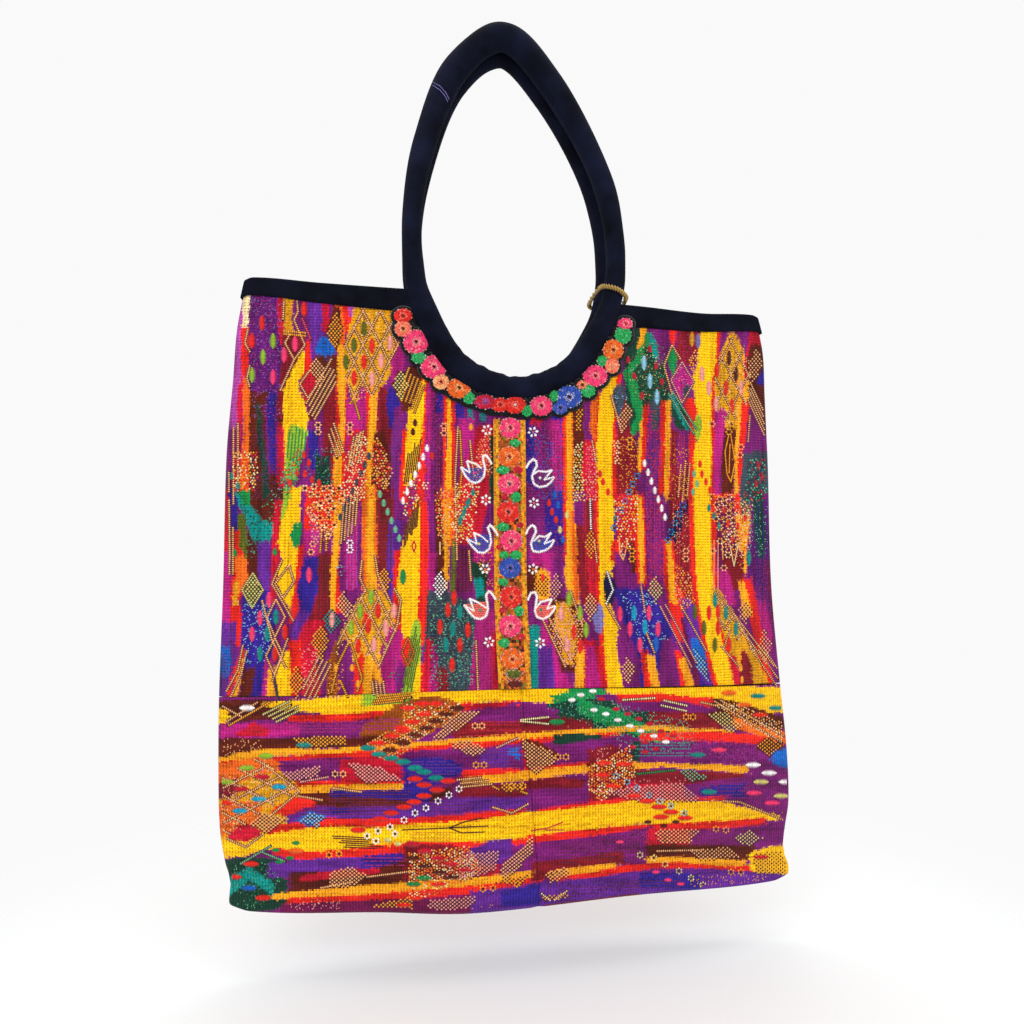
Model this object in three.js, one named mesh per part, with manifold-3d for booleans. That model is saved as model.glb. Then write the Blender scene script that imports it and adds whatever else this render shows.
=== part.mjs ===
// A woven tote bag hanging by its two padded handles.
// Millimetres, +Z up, the front faces -Y, and the origin is the point under the crown of the handles.
import * as THREE from "three";
import { mergeVertices } from "three/addons/utils/BufferGeometryUtils.js";
import Module from "manifold-3d";

const wasm = await Module();
wasm.setup();

// Driving dimensions
const CLOTH = 2.0; // the brocade cloth
const TAPE = 1.2; // the navy binding tape
const PATCH = 1.2; // the embroidered collar and the placket strip
const GAP = 0.3; // clearance between neighbouring pieces
const PATCH_GAP = 0.5; // clearance under a patch that lies on curved cloth
const CROWN_POWER = 2.6; // how square the swell of the cloth is across the bag
const FOLD_ROUND = 0.5; // depth of the bottom fold as a share of its half width
const HANDLE_SIDES = 10; // facets round a handle
const HANDLE_STEPS = 66; // rings along a handle
const HANDLE_DEPTH = 18.5; // a handle from front to back
const NECK_ROLL = 19; // the handle's width where it is sewn round the neckline

// The body from the mouth down: half widths to the left and right, how far each wall swells from the
// seam plane, and how far the side edges part under the binding.
const SECTIONS = [
  { z: -705, left: 214, right: 237, swell: 8, part: 0 },
  { z: -690, left: 219, right: 240, swell: 16, part: 0 },
  { z: -676, left: 222, right: 242, swell: 21, part: 0 },
  { z: -660, left: 221, right: 237, swell: 25, part: 0 },
  { z: -645, left: 225, right: 238, swell: 28, part: 0 },
  { z: -618, left: 229, right: 242, swell: 30.5, part: 0 },
  { z: -570, left: 230, right: 240, swell: 31, part: 0 },
  { z: -515, left: 229.5, right: 234, swell: 30, part: 0 },
  { z: -430, left: 226.5, right: 226, swell: 26, part: 0 },
  { z: -330, left: 224, right: 223, swell: 21, part: 0 },
  { z: -270, left: 219, right: 220, swell: 18, part: 0.2 },
  { z: -230, left: 215.5, right: 217, swell: 16.5, part: 1.8 },
  { z: -190, left: 207.5, right: 207, swell: 15.5, part: 1.8 },
];

// Edges that run across the bag
const RIM = [
  { x: -211, z: -195 },
  { x: -203, z: -191.5 },
  { x: -150, z: -196 },
  { x: -90, z: -199 },
  { x: 0, z: -201 },
  { x: 100, z: -203 },
  { x: 155, z: -204.5 },
  { x: 203, z: -201 },
  { x: 211, z: -204.5 },
];
const WAIST_SEAM = [
  { x: -235, z: -517 },
  { x: 0, z: -511 },
  { x: 240, z: -517 },
];
const BOTTOM = [
  { x: -222, z: -677 },
  { x: -206, z: -681 },
  { x: -110, z: -679 },
  { x: -35, z: -684 },
  { x: 100, z: -678 },
  { x: 226, z: -684 },
  { x: 242, z: -680 },
];
const CENTRE_SEAM = [
  { z: -705, x: 21 },
  { z: -500, x: 2 },
];

// Soft folds of the hanging cloth: middle, lean from upright, half length, half width and rise
const FOLDS = [
  { name: "left drape", x: -112, z: -350, lean: 5, reach: 70, spread: 26, rise: 3.2 },
  { name: "left flank", x: -168, z: -410, lean: -4, reach: 90, spread: 24, rise: -2.6 },
  { name: "right drape", x: 118, z: -360, lean: -6, reach: 75, spread: 26, rise: 3.0 },
  { name: "right flank", x: 176, z: -430, lean: 5, reach: 90, spread: 24, rise: -2.6 },
  { name: "placket hollow", x: -1, z: -430, lean: 0, reach: 75, spread: 34, rise: -2.4 },
  { name: "left heel", x: -182, z: -640, lean: 48, reach: 34, spread: 15, rise: -4.5 },
  { name: "right heel", x: 200, z: -636, lean: -50, reach: 34, spread: 15, rise: -4.5 },
  { name: "belly crease", x: -60, z: -600, lean: 80, reach: 80, spread: 20, rise: -2.2 },
];

// The middle line of a handle, once round from the crown down the left side, and its width
const HANDLE = [
  { name: "crown", x: -8, z: 10.5, width: 21 },
  { name: "left shoulder", x: -46, z: -18, width: 21 },
  { name: "left bend", x: -71, z: -80, width: 19 },
  { name: "left side", x: -81, z: -140, width: 15.5 },
  { name: "left rim", x: -79, z: -190, width: 16.5 },
  { name: "left neck", x: -69, z: -221, width: 20 },
  { name: "left curve", x: -43.2, z: -260.5, width: 22 },
  { name: "neck bottom", x: 1, z: -274, width: 18 },
  { name: "right curve", x: 43, z: -259, width: NECK_ROLL },
  { name: "right neck", x: 70, z: -222, width: NECK_ROLL },
  { name: "right rim", x: 80.5, z: -194, width: 16.5 },
  { name: "right side", x: 82.5, z: -158, width: 15.5 },
  { name: "right bend", x: 72, z: -100, width: 17 },
  { name: "right shoulder", x: 29, z: -22, width: 21 },
];
const CROWN_OFFSET = HANDLE_DEPTH / 2 + GAP; // the two handles lie side by side on the hook
const NECK_FROM = 4; // HANDLE rows between which the handle is sewn to the cloth
const NECK_TO = 10;

// The binding tape folded over the mouth
const BINDING_AT_HANDLE = 18.5; // its height beside a handle
const BINDING_AT_CORNER = 14.5; // and at the side seam
const BINDING_LEG_STEPS = 10;
const BINDING_TURN_STEPS = 6;
const BINDING_START = 70; // inside the neck, trimmed by the handle
const CORNER_DROP = 1; // how far the tape dips where it turns round the side seam
const CORNER_RISE = 2; // and how much less high it is there
const CORNER_ROUND = 0.45; // how far the turn bulges, as a share of a half circle

// The embroidered collar round the front neckline
const COLLAR_FROM = 4.92; // along HANDLE
const COLLAR_TO = 8.96;
const COLLAR_LEVEL_END = 0.07; // share of its length over which an end turns level
const COLLAR_WIDTH = 15.5;
const COLLAR_SCALLOPS = 13;
const SCALLOP_RISE = 2.4;
const SCALLOP_STEPS = 5;

// The embroidered strip down the middle of the front
const PLACKET_WIDTH = 25.5;
const PLACKET_TOP = -300;
const PLACKET_LINE = [
  { z: -514, x: -2 },
  { z: -450, x: -4.6 },
  { z: -300, x: -5.3 },
];

// The gold cord tied round both handles
const TIE = { diameter: 3.2, x: 80.2, z: -194.5, slope: -0.4, slack: 0.8, steps: 36, sides: 8 };

const mix = THREE.MathUtils.lerp;
const FRONT = -1;
const BACK = 1;

// A smooth value of one column of a table, at a place along its key column.
function valueAt(table, key, column, at) {
  const rows = table[0][key] < table.at(-1)[key] ? table : [...table].reverse();
  if (at <= rows[0][key]) return rows[0][column];
  if (at >= rows.at(-1)[key]) return rows.at(-1)[column];
  const i = rows.findIndex((row) => row[key] > at) - 1;
  const slope = (a, b) => (b[column] - a[column]) / (b[key] - a[key]);
  const [low, high] = [rows[i], rows[i + 1]];
  const slopeLow = i > 0 ? slope(rows[i - 1], high) : slope(low, high);
  const slopeHigh = i + 2 < rows.length ? slope(low, rows[i + 2]) : slope(low, high);
  const span = high[key] - low[key];
  const t = (at - low[key]) / span;
  const ease = t * t * (3 - 2 * t);
  return (
    mix(low[column], high[column], ease) +
    span * t * (1 - t) * ((1 - t) * slopeLow - t * slopeHigh)
  );
}

const halfWidth = (x, z) => valueAt(SECTIONS, "z", x < 0 ? "left" : "right", z);
const rimHeight = (x) => valueAt(RIM, "x", "z", x);
const waistHeight = (x) => valueAt(WAIST_SEAM, "x", "z", x);
const bottomHeight = (x) => valueAt(BOTTOM, "x", "z", x);
const centreSeam = (z) => valueAt(CENTRE_SEAM, "z", "x", z);

// How far the soft folds lift the cloth at a place on the front.
function foldRise(x, z) {
  let rise = 0;
  for (const fold of FOLDS) {
    const lean = THREE.MathUtils.degToRad(fold.lean);
    const along = (z - fold.z) * Math.cos(lean) + (x - fold.x) * Math.sin(lean);
    const across = (x - fold.x) * Math.cos(lean) - (z - fold.z) * Math.sin(lean);
    rise += fold.rise * Math.exp(-((along / fold.reach) ** 2) - (across / fold.spread) ** 2);
  }
  return rise;
}

// Distance of the inner face of a wall from the seam plane, which lies halfway between front and back.
function innerFace(x, z) {
  const share = Math.min(1, Math.abs(x) / halfWidth(x, z));
  const crown = 1 - share ** CROWN_POWER;
  const swell = valueAt(SECTIONS, "z", "swell", z) + foldRise(x, z);
  return GAP / 2 + valueAt(SECTIONS, "z", "part", z) + Math.max(0, swell) * crown;
}
const middleFace = (x, z) => innerFace(x, z) + CLOTH / 2;
const outerFace = (x, z) => innerFace(x, z) + CLOTH;

// A geometry from points and triangles, turned so that its faces point outwards.
function closedGeometry(points, triangles) {
  const volume = triangles.reduce((sum, [a, b, c]) => {
    const area = new THREE.Vector3().crossVectors(points[b], points[c]);
    return sum + points[a].dot(area);
  }, 0);
  const turned = volume < 0 ? triangles.map(([a, b, c]) => [a, c, b]) : triangles;
  return new THREE.BufferGeometry().setFromPoints(points).setIndex(turned.flat());
}

// A sheet with thickness: a grid of outer points and a grid of inner points, closed round its edge.
function sheetGeometry(columns, rows, outer, inner) {
  const points = [];
  const triangles = [];
  const quad = (a, b, c, d) => triangles.push([a, b, c], [a, c, d]);
  for (const face of [outer, inner]) {
    for (let j = 0; j <= rows; j++) {
      for (let i = 0; i <= columns; i++) points.push(face(i / columns, j / rows));
    }
  }
  const width = columns + 1;
  const layer = width * (rows + 1);
  const at = (i, j) => j * width + i;
  for (let j = 0; j < rows; j++) {
    for (let i = 0; i < columns; i++) {
      quad(at(i, j), at(i + 1, j), at(i + 1, j + 1), at(i, j + 1));
      quad(layer + at(i, j), layer + at(i, j + 1), layer + at(i + 1, j + 1), layer + at(i + 1, j));
    }
  }
  const rim = (a, b) => quad(a, layer + a, layer + b, b);
  for (let i = 0; i < columns; i++) {
    rim(at(i, 0), at(i + 1, 0));
    rim(at(i + 1, rows), at(i, rows));
  }
  for (let j = 0; j < rows; j++) {
    rim(at(0, j + 1), at(0, j));
    rim(at(columns, j), at(columns, j + 1));
  }
  return closedGeometry(points, triangles);
}

// A solid swept through rings of points: a closed loop, or an open run whose two ends are filled
// along the outline of its section.
function sweptGeometry(rings, endOutline = null) {
  const sides = rings[0].length;
  const triangles = [];
  const last = endOutline ? rings.length - 1 : rings.length;
  for (let k = 0; k < last; k++) {
    const next = ((k + 1) % rings.length) * sides;
    for (let i = 0; i < sides; i++) {
      const [a, b] = [k * sides + i, k * sides + ((i + 1) % sides)];
      const [c, d] = [next + ((i + 1) % sides), next + i];
      triangles.push([a, b, c], [a, c, d]);
    }
  }
  if (endOutline) {
    const end = (rings.length - 1) * sides;
    for (const [a, b, c] of THREE.ShapeUtils.triangulateShape(endOutline, [])) {
      triangles.push([a, c, b], [end + a, end + b, end + c]);
    }
  }
  return closedGeometry(rings.flat(), triangles);
}

// Booleans on closed geometries.
function solidOf(geometry) {
  const bare = geometry.clone();
  bare.deleteAttribute("normal");
  bare.deleteAttribute("uv");
  const merged = mergeVertices(bare, 1e-3);
  const mesh = new wasm.Mesh({
    numProp: 3,
    vertProperties: merged.attributes.position.array,
    triVerts: new Uint32Array(merged.index.array),
  });
  return new wasm.Manifold(mesh);
}

function cut(geometry, cutter) {
  const made = solidOf(geometry).subtract(solidOf(cutter)).getMesh();
  return new THREE.BufferGeometry()
    .setAttribute("position", new THREE.BufferAttribute(made.vertProperties, 3))
    .setIndex(new THREE.BufferAttribute(made.triVerts, 1));
}

// The handle's middle line seen from the front; at counts the rows of HANDLE.
const handleCurve = new THREE.CatmullRomCurve3(
  HANDLE.map((row) => new THREE.Vector3(row.x, 0, row.z)),
  true,
);
const handlePoint = (at) => handleCurve.getPoint(at / HANDLE.length);

// Unit vector in the front view that points out of the handle's loop.
function handleOutward(at) {
  const tangent = handleCurve.getTangent(at / HANDLE.length);
  return new THREE.Vector3(tangent.z, 0, -tangent.x);
}

function handleWidth(at) {
  const low = Math.floor(at) % HANDLE.length;
  const high = (low + 1) % HANDLE.length;
  return THREE.MathUtils.smoothstep(at - Math.floor(at), 0, 1) *
    (HANDLE[high].width - HANDLE[low].width) + HANDLE[low].width;
}

// Distance of the handle's middle line from the seam plane: in the cloth up to the rim, then leaning
// in until the two handles touch at the crown.
function handleStandOff(point) {
  const rim = rimHeight(point.x);
  if (point.z <= rim) return middleFace(point.x, point.z);
  const lean = THREE.MathUtils.smoothstep(point.z, rim, HANDLE[1].z);
  return mix(middleFace(point.x, rim), CROWN_OFFSET, lean);
}

function handleGeometry(side) {
  const rings = [];
  for (let k = 0; k < HANDLE_STEPS; k++) {
    const at = (k / HANDLE_STEPS) * HANDLE.length;
    const middle = handlePoint(at);
    const outward = handleOutward(at);
    const standOff = handleStandOff(middle);
    const ring = [];
    for (let i = 0; i < HANDLE_SIDES; i++) {
      const angle = ((i + 0.5) / HANDLE_SIDES) * 2 * Math.PI;
      const point = middle.clone().addScaledVector(outward, (Math.cos(angle) * handleWidth(at)) / 2);
      point.y = side * (standOff + (Math.sin(angle) * HANDLE_DEPTH) / 2);
      ring.push(point);
    }
    rings.push(ring);
  }
  return sweptGeometry(rings);
}

// The neck opening that the sewn part of a handle fills, right through the bag.
function neckCutter() {
  const steps = 44;
  const reach = 120;
  const top = -120;
  const outline = [];
  for (let k = 0; k <= steps; k++) {
    const at = mix(NECK_FROM, NECK_TO, k / steps);
    const edge = handlePoint(at).addScaledVector(handleOutward(at), handleWidth(at) / 2 + GAP);
    outline.push(new THREE.Vector2(edge.x, edge.z));
  }
  const shape = new THREE.Shape([
    ...outline,
    new THREE.Vector2(outline.at(-1).x, top),
    new THREE.Vector2(outline[0].x, top),
  ]);
  const geometry = new THREE.ExtrudeGeometry(shape, { depth: 2 * reach, bevelEnabled: false });
  return geometry.translate(0, 0, -reach).rotateX(Math.PI / 2);
}

// An upper wall, from the rim under the binding down to the waist seam, with the neck cut out.
function upperPanelGeometry(side, columns, rows) {
  const topEdge = 2 * TAPE + GAP; // the cloth ends this far below the top of the binding
  const place = (u, v, face) => {
    const share = mix(-1, 1, u);
    const nominal = share * halfWidth(share, SECTIONS.at(-1).z);
    const z = mix(rimHeight(nominal) - topEdge, waistHeight(nominal), v);
    const x = share * halfWidth(share, z);
    return new THREE.Vector3(x, side * face(x, z), z);
  };
  return sheetGeometry(
    columns,
    rows,
    (u, v) => place(u, v, outerFace),
    (u, v) => place(u, v, innerFace),
  );
}

// Half of the lower cloth: down the front, round the bottom fold and up the back.
function lowerPanelGeometry(left) {
  const columns = 13;
  const rows = 20;
  const turnFrom = 0.4; // shares of the way round between which the bottom fold lies
  const turnTo = 0.6;
  const place = (u, v, face) => {
    const along = v < turnFrom ? v / turnFrom : v > turnTo ? (1 - v) / (1 - turnTo) : 1;
    const edgeAt = (z) => (left ? -halfWidth(-1, z) : halfWidth(1, z));
    const seamAt = (z) => centreSeam(z) + (left ? -GAP / 2 : GAP / 2);
    const nominal = mix(edgeAt(SECTIONS[2].z), seamAt(SECTIONS[2].z), u);
    const z = mix(waistHeight(nominal) - GAP, bottomHeight(nominal), along);
    const x = mix(edgeAt(z), seamAt(z), u);
    const turn = THREE.MathUtils.clamp((v - turnFrom) / (turnTo - turnFrom), 0, 1) * Math.PI;
    return new THREE.Vector3(x, -Math.cos(turn) * face(x, z), z - Math.sin(turn) * FOLD_ROUND * face(x, z));
  };
  return sheetGeometry(
    columns,
    rows,
    (u, v) => place(u, v, outerFace),
    (u, v) => place(u, v, innerFace),
  );
}

// Section of the tape folded over a cloth edge: distance out from the cloth's middle, and drop from
// the top of the fold.
function tapeSection(height) {
  const inside = CLOTH / 2 + GAP;
  const outside = inside + TAPE;
  return [
    { out: outside, drop: height },
    { out: outside, drop: TAPE },
    { out: outside * 0.6, drop: 0 },
    { out: -outside * 0.6, drop: 0 },
    { out: -outside, drop: TAPE },
    { out: -outside, drop: height },
    { out: -inside, drop: height },
    { out: -inside, drop: TAPE },
    { out: inside, drop: TAPE },
    { out: inside, drop: height },
  ];
}

// The binding of one side of the mouth: from the front handle round the side seam to the back handle.
function bindingGeometry(sign) {
  const tip = halfWidth(sign, SECTIONS.at(-1).z);
  const leg = [];
  for (let k = 0; k < BINDING_LEG_STEPS; k++) {
    const closing = Math.sin((k / BINDING_LEG_STEPS) * (Math.PI / 2)); // closer towards the corner
    leg.push(mix(BINDING_START / tip, 1, closing));
  }
  const stations = leg.map((share) => ({ share, turn: 0 }));
  for (let k = 0; k <= BINDING_TURN_STEPS; k++) {
    stations.push({ share: 1, turn: (k / BINDING_TURN_STEPS) * Math.PI });
  }
  stations.push(...leg.reverse().map((share) => ({ share, turn: Math.PI })));
  const rings = stations.map(({ share, turn }) => {
    const top = rimHeight(sign * share * tip) - CORNER_DROP * Math.sin(turn) ** 2;
    const near = THREE.MathUtils.smoothstep(share, BINDING_START / tip, 1);
    const height = mix(BINDING_AT_HANDLE, BINDING_AT_CORNER, near) - CORNER_RISE * Math.sin(turn) ** 2;
    return tapeSection(height).map(({ out, drop }) => {
      const x = sign * share * halfWidth(sign, top - drop);
      const standOff = middleFace(x, top - Math.max(drop, TAPE)) + out;
      const sideways = sign * CORNER_ROUND * Math.sin(turn) * standOff;
      return new THREE.Vector3(x + sideways, -Math.cos(turn) * standOff, top - drop);
    });
  });
  const outline = tapeSection(BINDING_AT_HANDLE).map(({ out, drop }) => new THREE.Vector2(out, -drop));
  return sweptGeometry(rings, outline);
}

// The scalloped patch that follows the front neckline on top of the cloth. Its two ends are level, so
// that they meet the lower edge of the binding.
function collarGeometry() {
  const columns = COLLAR_SCALLOPS * SCALLOP_STEPS;
  const place = (u, v, lift) => {
    const at = mix(COLLAR_FROM, COLLAR_TO, u);
    const outward = handleOutward(at);
    const across = outward.clone();
    across.z *= THREE.MathUtils.smoothstep(Math.min(u, 1 - u), 0, COLLAR_LEVEL_END);
    across.normalize();
    const bump = Math.abs(Math.sin(u * COLLAR_SCALLOPS * Math.PI));
    const inner = (handleWidth(at) / 2 + GAP) / across.dot(outward);
    const outer = NECK_ROLL / 2 + COLLAR_WIDTH - SCALLOP_RISE * (1 - bump);
    const point = handlePoint(at).addScaledVector(across, mix(inner, outer, v));
    point.y = FRONT * (outerFace(point.x, point.z) + PATCH_GAP + lift);
    return point;
  };
  return sheetGeometry(columns, 2, (u, v) => place(u, v, PATCH), (u, v) => place(u, v, 0));
}

// The strip down the middle of the front, from the collar to the waist seam.
function placketGeometry() {
  const place = (u, v, lift) => {
    const aside = mix(-0.5, 0.5, u) * PLACKET_WIDTH;
    const z = mix(PLACKET_TOP, waistHeight(aside) + GAP, v);
    const x = valueAt(PLACKET_LINE, "z", "x", z) + aside;
    return new THREE.Vector3(x, FRONT * (outerFace(x, z) + PATCH_GAP + lift), z);
  };
  return sheetGeometry(4, 14, (u, v) => place(u, v, PATCH), (u, v) => place(u, v, 0));
}

// The cord round both handles, a long loop that slopes down to the right.
function tieGeometry() {
  const radius = TIE.diameter / 2;
  const clear = GAP + radius;
  const handle = handleStandOff(new THREE.Vector3(TIE.x, 0, TIE.z));
  const reach = HANDLE_DEPTH / 2 + clear;
  const across = HANDLE.find((row) => row.name === "right rim").width / 2 + clear + TIE.slack;
  const curve = new THREE.CatmullRomCurve3([], true);
  for (const side of [FRONT, BACK]) {
    for (const share of [-1, -0.6, 0, 0.6, 1]) {
      const angle = share * (Math.PI / 2);
      const x = TIE.x - side * Math.sin(angle) * across;
      const y = side * (handle + Math.cos(angle) * reach);
      curve.points.push(new THREE.Vector3(x, y, TIE.z + TIE.slope * (x - TIE.x)));
    }
  }
  const rings = [];
  for (let k = 0; k < TIE.steps; k++) {
    const middle = curve.getPoint(k / TIE.steps);
    const tangent = curve.getTangent(k / TIE.steps);
    const sideways = new THREE.Vector3(0, 0, 1).cross(tangent).normalize();
    const upward = new THREE.Vector3().crossVectors(tangent, sideways);
    const ring = [];
    for (let i = 0; i < TIE.sides; i++) {
      const angle = (i / TIE.sides) * 2 * Math.PI;
      ring.push(
        middle
          .clone()
          .addScaledVector(sideways, Math.cos(angle) * radius)
          .addScaledVector(upward, Math.sin(angle) * radius),
      );
    }
    rings.push(ring);
  }
  return sweptGeometry(rings);
}

// Materials
const brocade = new THREE.MeshStandardMaterial({ color: "#b03a3a", roughness: 0.85, metalness: 0 });
const bandCloth = new THREE.MeshStandardMaterial({ color: "#d98a1e", roughness: 0.85, metalness: 0 });
const navy = new THREE.MeshStandardMaterial({ color: "#12162b", roughness: 0.9, metalness: 0 });
const tape = new THREE.MeshStandardMaterial({ color: "#171c33", roughness: 0.85, metalness: 0 });
const embroidery = new THREE.MeshStandardMaterial({ color: "#e2396f", roughness: 0.75, metalness: 0 });
const goldCord = new THREE.MeshStandardMaterial({ color: "#c9a24a", roughness: 0.45, metalness: 0.2 });

// Assembly
const bag = new THREE.Group();
bag.name = "tote_bag";

function addPiece(name, geometry, material) {
  geometry.computeVertexNormals();
  const mesh = new THREE.Mesh(geometry, material);
  mesh.name = name;
  bag.add(mesh);
}

const neck = neckCutter();
addPiece("front_panel", cut(upperPanelGeometry(FRONT, 36, 14), neck), brocade);
addPiece("back_panel", cut(upperPanelGeometry(BACK, 28, 12), neck), brocade);
addPiece("lower_left", lowerPanelGeometry(true), bandCloth);
addPiece("lower_right", lowerPanelGeometry(false), bandCloth);
addPiece("front_handle", handleGeometry(FRONT), navy);
addPiece("back_handle", handleGeometry(BACK), navy);
addPiece("binding_left", cut(bindingGeometry(-1), neck), tape);
addPiece("binding_right", cut(bindingGeometry(1), neck), tape);
addPiece("collar", collarGeometry(), embroidery);
addPiece("placket", placketGeometry(), embroidery);
addPiece("tie_cord", tieGeometry(), goldCord);

export default bag;
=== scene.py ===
# %% [markdown]
# # A woven tote bag that hangs by its handles
# The bag is sewn from handwoven striped cloth with raised brocade. It has padded navy handles, a scalloped
# collar of embroidered flowers and a flowered strip down the front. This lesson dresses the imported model:
# each plain solid gets a finer piece in its own place, with the threads, stitches and dyes of the real thing.

# %% Load the frame
from math import cos, pi, radians, sin

import bpy
import numpy as np
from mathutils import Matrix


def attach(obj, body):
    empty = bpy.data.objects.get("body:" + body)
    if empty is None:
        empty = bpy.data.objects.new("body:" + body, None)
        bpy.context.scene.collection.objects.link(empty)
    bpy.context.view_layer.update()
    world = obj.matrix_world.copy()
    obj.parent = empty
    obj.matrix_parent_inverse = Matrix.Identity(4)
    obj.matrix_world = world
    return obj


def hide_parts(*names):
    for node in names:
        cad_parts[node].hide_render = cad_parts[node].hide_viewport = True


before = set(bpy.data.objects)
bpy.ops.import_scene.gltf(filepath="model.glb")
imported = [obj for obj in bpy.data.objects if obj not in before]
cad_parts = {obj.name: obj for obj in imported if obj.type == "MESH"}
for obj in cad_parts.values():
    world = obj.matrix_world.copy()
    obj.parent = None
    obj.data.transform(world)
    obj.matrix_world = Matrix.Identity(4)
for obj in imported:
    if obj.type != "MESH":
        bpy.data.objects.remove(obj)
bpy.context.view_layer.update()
bpy.ops.object.select_all(action="DESELECT")
MM = 0.001  # the bag's tables are in millimetres, and Blender works in metres
rng = np.random.default_rng(7)
print("nodes:", ", ".join(sorted(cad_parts)))

# %% [markdown]
# ## The camera
# The photograph was taken from close by, a little left of the middle, with the lens level. A camera with the
# same place, lens and horizon row lets us chart the weave in the photograph's own pixels: picture_place says
# where a point of the bag shows in it.

# %% Camera
VIEW_TURN = radians(8.1)
CAMERA_AT = np.array((-84.5, -594.0, -414.5))
FOCAL = 25.72
SENSOR = 36.0
PICTURE = 1024
HORIZON_ROW = 565

bpy.ops.object.camera_add(location=CAMERA_AT * MM, rotation=(pi / 2, 0, -VIEW_TURN))
camera = bpy.context.object
camera.data.lens = FOCAL
camera.data.sensor_width = SENSOR
camera.data.shift_y = (HORIZON_ROW - PICTURE / 2) / PICTURE
camera.data.clip_start = 0.01
bpy.context.scene.camera = camera
LINE_OF_SIGHT = np.array((sin(VIEW_TURN), cos(VIEW_TURN), 0))
SIDEWAYS = np.array((cos(VIEW_TURN), -sin(VIEW_TURN), 0))
PIXELS = FOCAL / SENSOR * PICTURE  # pixels to a slope of one
print("camera at", CAMERA_AT, "mm")


def picture_place(points):
    """Column and row of the photograph where points of the bag show."""
    offset = points - CAMERA_AT
    depth = offset @ LINE_OF_SIGHT
    return PICTURE / 2 + PIXELS * (offset @ SIDEWAYS) / depth, HORIZON_ROW - PIXELS * offset[..., 2] / depth


# %% [markdown]
# ## The hanging form
# The walls swell from flat side seams, the mouth dips where the neckline is cut, and the bottom is a soft
# fold. Sections from the mouth down give the half widths and the swell. Soft folds then lift or sink the
# cloth. They are the model's own tables, so each piece stays where its solid is.

# %% Tables of the form


def table(columns, rows):
    """Rows of numbers under named columns."""
    return np.array(rows, dtype=[(name, float) for name in columns.split()])


CLOTH = 2.0  # thickness of the walls
TAPE = 1.2
PATCH = 1.2  # of the collar and the strip
GAP = 0.3  # left between pieces
PATCH_GAP = 0.5
CROWN_POWER = 2.6  # how squarely the walls swell between their side seams
FOLD_ROUND = 0.5  # depth of the bottom fold, as a share of the swell there
HANDLE_DEPTH = 18.5  # front to back
NECK_ROLL = 19

SECTIONS = table("z left right swell part", [
    (-705, 214, 237, 8, 0),
    (-690, 219, 240, 16, 0),
    (-676, 222, 242, 21, 0),
    (-660, 221, 237, 25, 0),
    (-645, 225, 238, 28, 0),
    (-618, 229, 242, 30.5, 0),
    (-570, 230, 240, 31, 0),
    (-515, 229.5, 234, 30, 0),
    (-430, 226.5, 226, 26, 0),
    (-330, 224, 223, 21, 0),
    (-270, 219, 220, 18, 0.2),
    (-230, 215.5, 217, 16.5, 1.8),
    (-190, 207.5, 207, 15.5, 1.8),
])
RIM = table("x z", [
    (-211, -195), (-203, -191.5), (-150, -196), (-90, -199), (0, -201),
    (100, -203), (155, -204.5), (203, -201), (211, -204.5),
])
WAIST_SEAM = table("x z", [(-235, -517), (0, -511), (240, -517)])
BOTTOM = table("x z", [
    (-222, -677), (-206, -681), (-110, -679), (-35, -684), (100, -678), (226, -684), (242, -680),
])
CENTRE_SEAM = table("z x", [(-705, 21), (-500, 2)])
FOLDS = table("x z lean reach spread rise", [
    (-112, -350, 5, 70, 26, 3.2),
    (-168, -410, -4, 90, 24, -2.6),
    (118, -360, -6, 75, 26, 3.0),
    (176, -430, 5, 90, 24, -2.6),
    (-1, -430, 0, 75, 34, -2.4),
    (-182, -640, 48, 34, 15, -4.5),
    (200, -636, -50, 34, 15, -4.5),
    (-60, -600, 80, 80, 20, -2.2),
])

# %% Reading the tables


def value_at(rows, key, column, at):
    """A smooth value of one column, at places along the key column."""
    order = np.argsort(rows[key])
    knots = rows[key][order]
    values = rows[column][order]
    slopes = np.empty_like(values)
    slopes[1:-1] = (values[2:] - values[:-2]) / (knots[2:] - knots[:-2])
    slopes[0] = (values[1] - values[0]) / (knots[1] - knots[0])
    slopes[-1] = (values[-1] - values[-2]) / (knots[-1] - knots[-2])
    at = np.clip(at, knots[0], knots[-1])
    low = np.clip(np.searchsorted(knots, at, side="right") - 1, 0, len(knots) - 2)
    span = knots[low + 1] - knots[low]
    t = (at - knots[low]) / span
    ease = t * t * (3 - 2 * t)
    bend = span * t * (1 - t) * ((1 - t) * slopes[low] - t * slopes[low + 1])
    return values[low] + (values[low + 1] - values[low]) * ease + bend


def half_width(x, z):
    return np.where(x < 0, value_at(SECTIONS, "z", "left", z), value_at(SECTIONS, "z", "right", z))


def rim_height(x):
    return value_at(RIM, "x", "z", x)


def waist_height(x):
    return value_at(WAIST_SEAM, "x", "z", x)


def bottom_height(x):
    return value_at(BOTTOM, "x", "z", x)


def centre_seam(z):
    return value_at(CENTRE_SEAM, "z", "x", z)


def fold_rise(x, z):
    rise = 0
    for fold in FOLDS:
        lean = radians(fold["lean"])
        along = (z - fold["z"]) * cos(lean) + (x - fold["x"]) * sin(lean)
        across = (x - fold["x"]) * cos(lean) - (z - fold["z"]) * sin(lean)
        rise = rise + fold["rise"] * np.exp(-((along / fold["reach"]) ** 2) - (across / fold["spread"]) ** 2)
    return rise


# %% Faces of a wall


def inner_face(x, z):
    """Distance of a wall's inner face from the seam plane halfway between front and back."""
    share = np.minimum(1, np.abs(x) / half_width(x, z))
    swell = value_at(SECTIONS, "z", "swell", z) + fold_rise(x, z)
    part = value_at(SECTIONS, "z", "part", z)
    return GAP / 2 + part + np.maximum(0, swell) * (1 - share**CROWN_POWER)


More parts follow.
